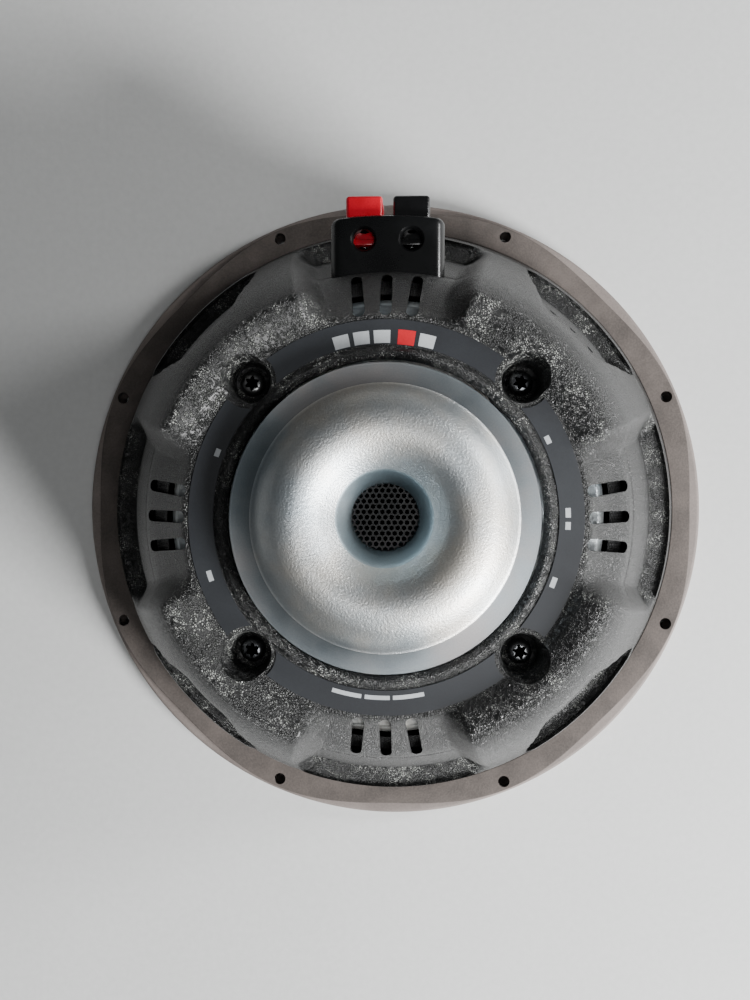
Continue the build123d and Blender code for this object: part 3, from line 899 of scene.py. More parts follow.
def stack_tree(material: bpy.types.Material) -> Tree:
    """Tree that stacks copies of a part along Z, as the turns of a coil.

    Args:
        material: Material of the finished stack.

    Returns:
        The tree, with inputs Count, Low and Pitch.
    """
    tree = Tree("stack_of_turns")
    tree.input("Count", "NodeSocketInt")
    tree.input("Low")
    tree.input("Pitch")
    start = tree.start()
    low = tree.add("ShaderNodeCombineXYZ", {"Z": start.outputs["Low"]})
    step = tree.add("ShaderNodeCombineXYZ", {"Z": start.outputs["Pitch"]})
    line = tree.add("GeometryNodeMeshLine", {
        "Count": start.outputs["Count"], "Start Location": low.outputs[0], "Offset": step.outputs[0],
    }, mode="OFFSET")
    copies = tree.add("GeometryNodeInstanceOnPoints", {
        "Points": line.outputs[0], "Instance": start.outputs["Geometry"],
    })
    tree.finish(copies.outputs[0], material)
    return tree


def lattice_tree(material: bpy.types.Material) -> Tree:
    """Tree that tiles a disc with copies of a cell on a triangular lattice.

    Args:
        material: Material of the finished tiles.

    Returns:
        The tree, with inputs Pitch, Radius and Height.
    """
    tree = Tree("lattice_of_cells")
    tree.input("Pitch")
    tree.input("Radius")
    tree.input("Height")
    start = tree.start()
    side = tree.add("ShaderNodeMath", {0: start.outputs["Pitch"], 1: 16.0}, operation="MULTIPLY")
    grid = tree.add("GeometryNodeMeshGrid", {
        "Size X": side.outputs[0], "Size Y": side.outputs[0], "Vertices X": 17, "Vertices Y": 17,
    })
    place = tree.add("GeometryNodeInputPosition")
    axes = tree.add("ShaderNodeSeparateXYZ", {0: place.outputs[0]})
    row = tree.add("ShaderNodeMath", {0: axes.outputs["Y"], 1: start.outputs["Pitch"]}, operation="DIVIDE")
    whole = tree.add("ShaderNodeMath", {0: row.outputs[0]}, operation="ROUND")
    odd = tree.add("ShaderNodeMath", {0: whole.outputs[0], 1: 2.0}, operation="FLOORED_MODULO")
    nudge = tree.add("ShaderNodeMath", {0: odd.outputs[0], 1: 0.5}, operation="MULTIPLY")
    shift = tree.add("ShaderNodeMath", {
        0: nudge.outputs[0], 1: start.outputs["Pitch"], 2: axes.outputs["X"],
    }, operation="MULTIPLY_ADD")
    squeeze = tree.add("ShaderNodeMath", {0: axes.outputs["Y"], 1: math.sqrt(3) / 2}, operation="MULTIPLY")
    target = tree.add("ShaderNodeCombineXYZ", {
        "X": shift.outputs[0], "Y": squeeze.outputs[0], "Z": start.outputs["Height"],
    })
    moved = tree.add("GeometryNodeSetPosition", {"Geometry": grid.outputs[0], "Position": target.outputs[0]})
    flat = tree.add("ShaderNodeVectorMath", {0: place.outputs[0], 1: (1, 1, 0)}, operation="MULTIPLY")
    reach = tree.add("ShaderNodeVectorMath", {0: flat.outputs[0]}, operation="LENGTH")
    outside = tree.add("FunctionNodeCompare", {
        0: reach.outputs["Value"], 1: start.outputs["Radius"],
    }, data_type="FLOAT", operation="GREATER_THAN")
    kept = tree.add("GeometryNodeDeleteGeometry", {
        "Geometry": moved.outputs[0], "Selection": outside.outputs[0],
    }, domain="POINT")
    copies = tree.add("GeometryNodeInstanceOnPoints", {
        "Points": kept.outputs[0], "Instance": start.outputs["Geometry"],
    })
    tree.finish(copies.outputs[0], material)
    return tree


# ---------------------------------------------------------------------------
# Shared shapes
# ---------------------------------------------------------------------------


def place(piece: bpy.types.Object, body: Body, slot: str, *nodes: str) -> bpy.types.Object:
    """Make a finished piece ride on a body in place of CAD nodes, which it hides."""
    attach(piece, body.value)
    if nodes:
        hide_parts(*nodes)
    return piece


def lobed(radius: float, angle: float) -> float:
    """Radius of the flange's edge at an angle: it swells round each of the eight holes."""
    if radius < 127.0:
        return radius
    swell = 0.5 + 0.5 * math.cos(math.radians(8 * (angle - 22.5)))
    return radius - 133.0 + 129.8 + 3.2 * swell ** 0.9


def posts(radius: float, ring: float, count: int, start: float, low: float, high: float) -> bpy.types.Object:
    """Make upright cylinders on a circle, as cutters."""
    made = []
    for k in range(count):
        turn = math.radians(start + 360.0 * k / count)
        outline = disc_outline(ring * math.cos(turn), ring * math.sin(turn), low, radius, 28)
        made.append(prism("post", outline, (0, 0, high - low)))
    return merge("posts", made)


def tube(
    name: str, path: Sequence[Point], radius: float, material: bpy.types.Material | None, sides: int = 10
) -> bpy.types.Object:
    """Sweep a round section along a path in millimetres, with closed ends."""
    points = [Vector(p) for p in path]
    up = Vector((0.3, 0.2, 1.0)).normalized()
    rows = []
    for i, point in enumerate(points):
        along = (points[min(i + 1, len(points) - 1)] - points[max(i - 1, 0)]).normalized()
        across = (up - along * up.dot(along)).normalized()
        up = across
        other = along.cross(across)
        ring = []
        for k in range(sides):
            turn = 2 * math.pi * k / sides
            ring.append(tuple((point + (across * math.cos(turn) + other * math.sin(turn)) * radius) * MM))
        rows.append(ring)
    mesh = sheet_mesh(name, rows, False, True)
    close_ends(mesh)
    tidy_mesh(mesh, 60.0)
    return object_from(name, mesh, material)


def soft_ring(
    name: str, outline: Profile, material: bpy.types.Material,
    sectors: int, facets: int,
) -> None:
    """Make a ring of sectors for a soft part between the diaphragm and the frame.

    Args:
        name: Name of the CAD node that the ring stands for.
        outline: Closed section in millimetres.
        material: The ring's material.
        sectors: Number of sectors.
        facets: Facets in each sector.
    """
    sweep = 360.0 / sectors
    for k in range(sectors):
        piece = lathe(f"{name}_sector_{k:02d}", outline, material, facets, True, k * sweep, sweep, None, 50.0)
        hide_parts(name)
        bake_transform(piece)


def wall_radius(z: float) -> float:
    """Radius of the frame's outer skin in a valley at a height, in millimetres."""
    steps = [
        (130.5, 61.2), (119.1, 72.0), (108.0, 80.5), (97.0, 84.3), (94.0, 85.5), (77.5, 92.0), (58.5, 99.3),
        (46.5, 103.0)
    ]
    for (high, near), (low, far) in zip(steps, steps[1:]):
        if z >= low:
            return near + (far - near) * (high - z) / (high - low)
    return steps[-1][1]


# ---------------------------------------------------------------------------
# Frame of the driver
# ---------------------------------------------------------------------------


@dataclass
class Basket:
    """Pressed steel frame: four pods on the diagonals and four slotted valleys.

    The outer skin is drawn through matching stations of three sections, and
    each angle mixes them by how far it lies inside a pod or its recess.
    A section is a row of radius and height pairs in millimetres. The three
    outer sections have matching stations, and so have the three inner ones.
    """

    columns: int = 720
    slot_ring: float = 71.4
    slot_half: float = 6.9
    slot_r: float = 1.9
    slot_step: float = 7.4
    dent_ring: float = 93.6
    dent_step: float = 9.3
    valley: Profile = (
        (49.1, 128.5), (49.15, 130.5), (51.05, 132.1), (52.95, 130.7), (53.4, 130.5), (61.2, 130.5),
        (63.5, 129.9), (66.5, 126.2), (72, 119.1), (80.5, 108), (84.0, 97.4), (85.7, 94.2), (92, 77.5),
        (99.3, 58.5), (103, 46.5), (104.6, 44), (110.2, 44), (111.4, 44.9), (112.4, 42.5), (121, 15),
        (121, 11.5),
    )
    pod: Profile = (
        (49.1, 128.5), (49.15, 130.5), (51.05, 132.1), (52.95, 130.7), (53.4, 130.5), (61.2, 130.5),
        (63, 131.2), (66, 133.6), (72.8, 136), (79.8, 127), (85.5, 115), (88.5, 107.5), (91.5, 100),
        (98.5, 80), (105.5, 60), (109.5, 49.5), (111.8, 44), (113, 39.5), (114.2, 35), (121, 15),
        (121, 11.5),
    )
    recess: Profile = (
        (49.1, 128.5), (49.15, 130.5), (51.05, 132.1), (52.95, 130.7), (53.4, 130.5), (61.2, 130.5),
        (63, 131.2), (66, 133.6), (72.8, 136), (79.8, 127), (84.6, 114), (86, 106), (88.5, 97),
        (95, 78), (101.5, 58), (104.5, 46), (106, 44), (110.6, 43.8), (112.2, 44.6), (121, 15),
        (121, 11.5),
    )
    valley_inside: Profile = (
        (119, 11.8), (119, 15), (110.5, 40.9), (109, 42), (103.1, 42), (101.2, 45.8), (97.4, 57.8),
        (90.4, 75.5), (83.6, 93.3), (78.8, 107), (70.6, 118), (65, 126), (62, 128.5),
    )
    pod_inside: Profile = (
        (119, 11.8), (119, 15), (112.2, 34.6), (109.8, 43.6), (107.4, 49.5), (103.5, 59.6),
        (96.6, 79.4), (89.6, 99.3), (83.6, 114.3), (77.8, 126), (72.6, 133.4), (65, 130.9), (62, 128.5),
    )
    recess_inside: Profile = (
        (119, 11.8), (119, 15), (109.5, 41.8), (103.6, 42), (102, 47), (99.6, 57.3), (93.2, 77),
        (86.4, 96.5), (82.4, 113.4), (77.8, 126), (72.6, 133.4), (65, 130.9), (62, 128.5),
    )

    def off_pod(self, angle: float) -> float:
        """Degrees between an angle and the middle of the nearest pod."""
        return abs((angle % 90.0) - 45.0)

    def in_pod(self, radius: float, angle: float) -> float:
        """How far a place is inside a pod, from zero to one."""
        half = 29.5 - 2.7 * (radius - 48.0) / 78.0
        soft = math.degrees(4.2 / max(radius, 48.0))
        return smoothstep(half + soft * 0.45, half - soft * 1.75, self.off_pod(angle))

    def in_recess(self, radius: float, angle: float) -> float:
        """How far a place is inside the recess in a pod's outer face, from zero to one."""
        half = 6.5 + 8.0 * (radius - 81.0) / 31.0
        soft = math.degrees(3.4 / max(radius, 48.0))
        return smoothstep(half + soft, half - soft, self.off_pod(angle))

    def mixed(self, sections: Sequence[Profile], angle: float) -> list[tuple[float, float]]:
        """Mix the three sections' stations at an angle."""
        made = []
        for low, high, dent in zip(*sections):
            pod = self.in_pod(high[0], angle)
            hollow = self.in_recess(high[0], angle)
            r = high[0] + (dent[0] - high[0]) * hollow
            z = high[1] + (dent[1] - high[1]) * hollow
            made.append((low[0] + (r - low[0]) * pod, low[1] + (z - low[1]) * pod))
        return made

    def column(self, angle: float) -> list[tuple[float, float]]:
        """The whole closed section of the shell at an angle."""
        outside = flow(self.mixed((self.valley, self.pod, self.recess), angle), 4)
        stations = self.mixed((self.valley_inside, self.pod_inside, self.recess_inside), angle)
        inside = []
        for (r0, z0), (r1, z1) in zip(stations, stations[1:]):
            inside += [(r0 + (r1 - r0) * k / 3, z0 + (z1 - z0) * k / 3) for k in range(3)]
        edge = lobed(133.0, angle)
        flange = [
            (edge - 0.5, 11.5), (edge - 0.1, 11.35), (edge, 11.0), (edge, 10.0), (edge - 0.1, 9.65),
            (edge - 0.5, 9.5),
            (113.4, 9.5), (113.0, 9.9), (113.0, 11.1), (113.4, 11.5), (118.6, 11.5),
        ]
        return outside + flange + inside + [stations[-1]]

    def shell(self) -> bpy.types.Object:
        """Make the shell before its holes are cut."""
        angles = [360.0 * i / self.columns for i in range(self.columns)]
        sections = [self.column(angle) for angle in angles]
        rows = []
        for j in range(len(sections[0])):
            row = []
            for angle, section in zip(angles, sections):
                r, z = section[j]
                turn = math.radians(angle)
                row.append((r * math.cos(turn) * MM, r * math.sin(turn) * MM, z * MM))
            rows.append(row)
        mesh = sheet_mesh("basket_shell", rows, True, True)
        tidy_mesh(mesh, 40.0)
        return object_from("basket_shell", mesh, Finishes.coat.material())

    def slots(self) -> bpy.types.Object:
        """Cutters for the three radial slots in each valley."""
        made = []
        for valley in (0, 90, 180, 270):
            for spread in (-self.slot_step, 0.0, self.slot_step):
                turn = math.radians(valley + spread)
                along = Vector((math.cos(turn), math.sin(turn)))
                across = Vector((-along.y, along.x))
                outline = []
                for end, first in ((1, -90), (-1, 90)):
                    for k in range(9):
                        bend = math.radians(first + 180 * k / 8)
                        reach = self.slot_ring + end * self.slot_half + self.slot_r * math.cos(bend)
                        point = along * reach + across * self.slot_r * math.sin(bend)
                        outline.append((point.x, point.y, 95.0))
                made.append(prism("slot", outline, (0, 0, 45.0)))
        return merge("slots", made)

    def pockets(self) -> tuple[bpy.types.Object, bpy.types.Object]:
        """Cups that hold the motor screws, and the cutters that hollow them."""
        cups = []
        cutters = []
        for k in range(4):
            turn = math.radians(45 + 90 * k)
            spot = (SCREW_RING * math.cos(turn), SCREW_RING * math.sin(turn))
            cup = lathe(
                "cup",
                [(0, 115.9), (10.3, 115.9), (10.3, 130), (9.3, 130), (8.4, 130), (7.6, 130), (0, 130)],
                None, 64, centre=spot
            )
            for corner in cup.data.vertices:
                if corner.co.z > 129 * MM:
                    corner.co.z = (self.pod_height(math.hypot(corner.co.x, corner.co.y) / MM) - 0.3) * MM
            cups.append(cup)
            hollow = [
                (0, 121), (4.9, 121), (5.6, 121.4), (6.0, 122.6), (6.3, 127.0), (6.7, 129.3), (7.3, 130.6),
                (7.9, 132.2),
                (8.5, 138), (0, 138),
            ]
            cutters.append(lathe("hollow", hollow, None, 64, centre=spot))
            cutters.append(prism("shank_hole", disc_outline(*spot, 112, 2.8), (0, 0, 10)))
        return merge("cups", cups), merge("hollows", cutters)

    def pod_height(self, radius: float) -> float:
        """Height of a pod's outer skin near its inner foot, in millimetres."""
        if radius < 62.0:
            return 130.5
        if radius < 66.0:
            return 130.5 + 3.1 * (radius - 62.0) / 4.0
        return min(136.0, 133.6 + 2.4 * (radius - 66.0) / 6.8)

    def notches(self) -> bpy.types.Object:
        """Cutters for the three small dents across each recess."""
        made = []
        for k in range(4):
            for aside in (-self.dent_step, 0.0, self.dent_step):
                turn = math.radians(45 + 90 * k) + aside / 92.7
                spot = (self.dent_ring * math.cos(turn), self.dent_ring * math.sin(turn))
                made.append(prism("notch", disc_outline(*spot, 81.5, 1.5, 16), (0, 0, 6.5)))
        return merge("notches", made)

    def coarseness(self, x: float, y: float, z: float) -> float:
        """How coarse the powder coat is at a place: it gathers on flats, inner slopes and in corners. Coarse
        places also get the brightest painted glints.
        """
        r = math.hypot(x, y)
        angle = math.degrees(math.atan2(y, x))
        pod = self.in_pod(r, angle)
        screw = math.hypot(abs(x) - 42.43, abs(y) - 42.43)
        on_pod = 1.0 - 0.72 * smoothstep(71.0, 77.0, r)
        on_valley = 0.75 - 0.35 * smoothstep(62.0, 70.0, r) - 0.2 * smoothstep(82.0, 88.0, r)
        value = on_valley + (on_pod - on_valley) * pod
        ledge = smoothstep(41.0, 43.0, z) * smoothstep(47.5, 45.5, z)
        value = max(value, ledge, smoothstep(13.0, 10.0, screw) if z < 131.5 else 0.0)
        if r < 54.0:
            value = max(value, 0.8)
        if z < 14.0:
            value = 0.3
        return min(1.0, value)

    def build(self) -> bpy.types.Object:
        """Make the finished basket."""
        shell = self.shell()
        cups, hollows = self.pockets()
        carve(shell, [cups], "UNION")
        bolts = posts(2.5, BOLT_RING, 8, 22.5, 8.0, 13.0)
        carve(shell, [hollows, merge("cutters", [self.slots(), self.notches(), bolts])])
        tidy_mesh(shell.data, 40.0)
        marks = shell.data.attributes.new("coarse", "FLOAT", "POINT")
        marks.data.foreach_set(
            "value", [self.coarseness(*(c / MM for c in v.co)) for v in shell.data.vertices]
        )
        return shell


@dataclass(frozen=True)
class Mark:
    """A printed bar on the label, as angles in degrees and radii in millimetres."""

    start: float
    sweep: float
    inner: float
    outer: float
    red: bool = False


LABEL_MARKS = (
    Mark(101.5, 5.0, 53.9, 57.9), Mark(95.0, 5.0, 53.9, 57.9), Mark(88.4, 5.2, 53.9, 57.9),
    Mark(80.6, 5.4, 53.6, 58.2, True), Mark(74.2, 5.0, 53.9, 57.9),
    Mark(24.4, 2.6, 54.6, 56.2), Mark(0.2, 3.0, 55.4, 57.0), Mark(-3.6, 2.4, 55.4, 57.0),
    Mark(-22.6, 3.4, 54.6, 56.2),
    Mark(-107.0, 9.5, 55.1, 56.4), Mark(-96.4, 8.0, 55.1, 56.4), Mark(-87.4, 10.0, 55.1, 56.4),
    Mark(196.8, 3.4, 56.6, 58.2), Mark(157.6, 2.6, 55.0, 56.6),
)


class FrameParts:
    """Pieces that are fixed to the frame outside the motor."""

    def gasket(self) -> None:
        """Rear gasket with a lobed edge."""
        outline = rounded(
            [(121.7, 11.52, 0.1), (132.75, 11.52, 0.1), (132.75, 13.0, 0.5), (121.7, 13.0, 0.5)]
        )
        piece = lathe("rear_gasket_ring", outline, Finishes.foam.material(), 480, stretch=lobed)
        carve(piece, [posts(2.5, BOLT_RING, 8, 22.5, 10.0, 15.0)])
        tidy_mesh(piece.data)
        place(piece, Body.FRAME, "gasket_foam", "rear_gasket")

    def trim(self) -> None:
        """Front trim ring, seen outside the gasket's lobes."""
        outline = rounded([
            (115.5, 0.8, 0), (116.3, 0, 0.6), (133.5, 0, 1.0), (135, 1.5, 1.0), (135, 8.5, 0.8),
            (134, 9.5, 0.8),
            (119.3, 9.5, 0), (119.3, 8.65, 0), (115.5, 8.65, 0.3),
        ])
        piece = lathe("front_trim", outline, Finishes.trim.material(), 360)
        carve(piece, [posts(2.5, BOLT_RING, 8, 22.5, -1.0, 11.0)])
        tidy_mesh(piece.data)
        place(piece, Body.FRAME, "trim_rubber", "front_trim_ring")

    def label(self) -> None:
        """Four curved strips of printed film with plain bars in place of print."""
        outline = [
            (53.5, 130.5), (61.3, 130.5), (61.3, 130.7), (61.25, 130.75), (53.55, 130.75), (53.5, 130.7)
        ]
        strips = lathe("label_film", outline, Finishes.film.material(), 360)
        carve(strips, [posts(8.7, SCREW_RING, 4, 45.0, 128.0, 133.0)])
        tidy_mesh(strips.data)
        place(strips, Body.FRAME, "label_film", "label_strips")
        for red, finish in ((False, Finishes.print_light), (True, Finishes.print_red)):
            bars = []
            for mark in LABEL_MARKS:
                if mark.red == red:
                    section = [
                        (mark.inner, 130.74), (mark.outer, 130.74), (mark.outer, 130.78),
                        (mark.inner, 130.78)
                    ]
                    bars.append(lathe("bar", section, finish.material(), 8, True, mark.start, mark.sweep))
            piece = merge("label_bars_red" if red else "label_bars_light", bars)
            place(piece, Body.FRAME, "label_film")

    def slot_mesh(self) -> None:
        """Woven wire behind the slots: one panel made, then set in each valley by nodes."""
        wires = []
        rise = Vector((6.0, -7.75)).normalized()
        normal = Vector((-rise.y, rise.x))
        turns = [-13.0 + 26.0 * j / 35 for j in range(36)]
        lengths = [0.2 + 0.94 * k for k in range(11)]

        def crossing(k: int, j: int, family: int) -> Point:
            lift = 0.13 if (j + k + family) % 2 else -0.13
            spot = Vector((72.5, 113.6)) + rise * lengths[k] + normal * lift
            turn = math.radians(turns[j])
            return (spot.x * math.cos(turn), spot.x * math.sin(turn), spot.y)

        for k in range(len(lengths)):
            wires.append(tube("weft", [crossing(k, j, 0) for j in range(len(turns))], 0.16, None, 5))
        for j in range(len(turns)):
            wires.append(tube("warp", [crossing(k, j, 1) for k in range(len(lengths))], 0.16, None, 5))
        panel = merge("slot_wire_mesh", wires)
        tree = ring_tree(Finishes.wire.material())
        tree.run(panel, {"Count": 4, "Radius": 0.00001, "Height": 0.0, "Start": 0.0, "Scatter": 0.0})
        place(panel, Body.FRAME, "mesh_black", "slot_meshes")

    def build(self) -> None:
        """Make every fixed piece outside the motor and terminals."""
        place(Basket().build(), Body.FRAME, "powder_coated_steel", "basket")
        self.gasket()
        self.trim()
        self.label()
        self.slot_mesh()


class Motor:
    """Back plate, vent mesh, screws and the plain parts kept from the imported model."""

    def back_plate(self) -> None:
        """Forged back plate: a raised bump with a flared vent, a turned rim and a flat yoke."""
        dome = flow([
            (41.2, 138), (40.3, 138.4), (38.6, 140.1), (36.2, 142.5), (32.6, 144.9), (28, 146), (24, 145.4),
            (20, 143.3), (17.2, 140.9), (15.2, 138.9), (14.2, 137.6), (12.8, 134.6), (11.5, 131.2),
            (10.7, 127.0),
        ], 5)
        body = rounded([
            (10.7, 80, 0), (14.7, 75, 1.0), (25.2, 75, 0.5), (25.2, 125, 0), (28, 130, 0), (33, 130, 0),
            (36, 125, 0),
            (36, 108, 0), (71, 108, 0.5), (71, 112.5, 0.6), (68.5, 116, 0.6), (47, 116, 0.3), (47, 138, 0.9),
        ], closed=False)
        piece = lathe("back_plate_forged", [*body, *dome], Finishes.zinc.material(), 300)
        for finish in (Finishes.zinc_rim, Finishes.zinc_vent_painted_shade):
            piece.data.materials.append(finish.material())
        for face in piece.data.polygons:
            r = math.hypot(face.center.x, face.center.y) / MM
            z = face.center.z / MM
            if 40.9 < r < 48 and z > 117:
                face.material_index = 1
            # Painted shade: the vent's flare and bore take the darker, bluer copy of the zinc.
            elif r < 15.0:
                face.material_index = 2
        carve(piece, [posts(2.45, SCREW_RING, 4, 45.0, 106.0, 118.0)])
        tidy_mesh(piece.data)
        place(piece, Body.FRAME, "zinc_plated_steel", "back_plate")

    def vent_mesh(self) -> None:
        """Punched hexagonal mesh across the vent: one cell tiled by nodes."""
        pitch = 1.95
        rows = []
        for radius, height in (
            (pitch / math.sqrt(3), -0.42), (pitch / math.sqrt(3), 0.42), (0.80, 0.42), (0.74, 0.30),
            (0.74, -0.42),
        ):
            turns = [math.radians(30 + 60 * k) for k in range(6)]
            rows.append([(radius * math.cos(t) * MM, radius * math.sin(t) * MM, height * MM) for t in turns])
        mesh = sheet_mesh("vent_cell", rows, True, True)
        tidy_mesh(mesh)
        cell = object_from("vent_hexagonal_mesh", mesh, None)
        tree = lattice_tree(Finishes.wire.material())
        tree.run(cell, {"Pitch": pitch * MM, "Radius": 11.0 * MM, "Height": 124.45 * MM})
        place(cell, Body.FRAME, "mesh_black", "vent_mesh")

    def screws(self) -> None:
        """Button-head screws with six-lobed sockets, each driven to its own angle."""
        head = [
            (0, 0.02), (4.1, 0.02), (4.1, 0.8), (3.95, 1.5), (3.5, 2.2), (2.8, 2.75), (2.2, 3.0), (0, 3.05)
        ]
        screw = lathe("motor_screw_set", head, None, 64)
        shank = prism("shank", disc_outline(0, 0, -13, 2.4), (0, 0, 13.5))
        carve(screw, [shank], "UNION")
        star = []
        for k in range(48):
            turn = 2 * math.pi * k / 48
            reach = 1.95 + 0.42 * math.cos(6 * turn)
            star.append((reach * math.cos(turn), reach * math.sin(turn), 1.0))
        carve(screw, [prism("socket", star, (0, 0, 4))])
        tidy_mesh(screw.data)
        tree = ring_tree(Finishes.black_oxide.material())
        tree.run(screw, {
            "Count": 4, "Radius": SCREW_RING * MM, "Height": 121 * MM, "Start": math.pi / 4, "Scatter": 6.0,
        })
        place(screw, Body.FRAME, "black_oxide_steel", "motor_screws")

    def kept(self) -> None:
        """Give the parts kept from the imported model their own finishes."""
        finishes = {
            "magnet": Finishes.ferrite, "top_plate": Finishes.zinc, "shorting_ring": Finishes.aluminium,
            "coil_former": Finishes.aluminium, "spider_carrier": Finishes.abs_satin,
            "contact_clips": Finishes.brass,
            "terminal_screws": Finishes.black_oxide, "tag_board": Finishes.phenolic,
        }
        for name, finish in finishes.items():
            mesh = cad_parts[name].data
            mesh.materials.clear()
            mesh.materials.append(finish.material())

    def build(self) -> None:
        """Make every motor piece."""
        self.back_plate()
        self.vent_mesh()
        self.screws()
        self.kept()


class Diaphragm:
    """Moving assembly, with the soft parts that tie it to the frame."""

    def cone(self) -> None:
        """Shallow pressed cone with a rolled glue lip."""
        outline = rounded([
            (91.1, 9.5, 0.2), (91.1, 10.5, 0.3), (87, 10.7, 0.8), (27.1, 43, 0.3), (26.1, 43, 0),
            (26.1, 41.6, 0),
            (87, 9.5, 0.8),
        ])
        place(
            lathe("cone_shell", outline, Finishes.fibre.material(), 240), Body.DIAPHRAGM, "cone_paper",
            "cone"
        )

    def dust_cap(self) -> None:
        """Shallow dome glued to the cone's front."""
        low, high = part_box("dust_cap")
        edge_z = high.z / MM
        crest = low.z / MM
        rise = edge_z - crest
        front = [(41.0 * k / 24, crest + rise * (k / 24) ** 2) for k in range(25)]
        rear = [(max(r - 0.25 * k / 24, 0), min(z + 1.0, edge_z)) for k, (r, z) in enumerate(front)]
        outline = [*front, *reversed(rear)]
        place(
            lathe("dust_cap_dome", outline, Finishes.fibre.material(), 160), Body.DIAPHRAGM, "cone_paper",
            "dust_cap"
        )

    def windings(self) -> None:
        """Two layers of round wire, one turn made and stacked by nodes."""
        tree = stack_tree(Finishes.copper.material())
        for name, radius in (("inner", 26.425), ("outer", 27.075)):
            section = [
                (radius + 0.315 * math.cos(2 * math.pi * k / 8), 0.315 * math.sin(2 * math.pi * k / 8))
                for k in range(8)
            ]
            turn = lathe(f"winding_{name}_turns", section, None, 72)
            tree.run(turn, {"Count": 40, "Low": 68.33 * MM, "Pitch": 0.65 * MM})
            place(turn, Body.DIAPHRAGM, "copper_winding", f"voice_coil_{name}_winding")

    def surround(self) -> None:
        """Rubber half-roll from the cone's lip to the frame's seat."""
        bends = [math.pi * k / 18 for k in range(19)]
        front = [(102.25 - 10.75 * math.cos(b), 9.5 - 8.1 * math.sin(b)) for b in bends]
        back = [(102.25 - 9.95 * math.cos(b), 9.5 - 7.3 * math.sin(b)) for b in bends]
        outline = [
            (87, 8.75), *front[1:-1], (113.0, 8.75), (119, 8.75), (119, 9.45), *reversed(back), (87, 9.45)
        ]
        soft_ring("surround", outline, Finishes.butyl.material(), 24, 10)

    def spider(self) -> None:
        """Corrugated cloth disc from the former to the carrier."""
        line = []
        for k in range(97):
            r = 26.1 + (80.0 - 26.1) * k / 96
            fade = smoothstep(27.0, 30.5, r) * smoothstep(74.5, 72.0, r)
            line.append(
                (r, 58.6 + 0.6 * smoothstep(66, 74, r) - 1.4 * fade * math.cos(math.pi * (r - 30.1) / 5.4))
            )
        outline = [*line, *[(r, z + 0.5) for r, z in reversed(line)]]
        soft_ring("spider", outline, Finishes.cloth.material(), 16, 9)

    def leads(self) -> None:
        """Four tinsel leads that hang in a slack bend between the tag board and the neck."""
        for k, x in enumerate((-9.0, -3.0, 3.0, 9.0)):
            path = flow([(93.9, 56), (84, 55.6), (68, 50.5), (52, 47.5), (43, 43.6), (38, 39.8)], 7)
            lead = tube(
                f"tinsel_lead_{k + 1}", [(x, y, z) for y, z in path], 0.8, Finishes.tinsel.material(), 10
            )
            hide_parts("tinsel_leads")
            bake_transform(lead)

    def build(self) -> None:
        """Make every moving piece and the soft ties."""
        self.cone()
        self.dust_cap()
        self.windings()
        self.surround()
        self.spider()
        self.leads()


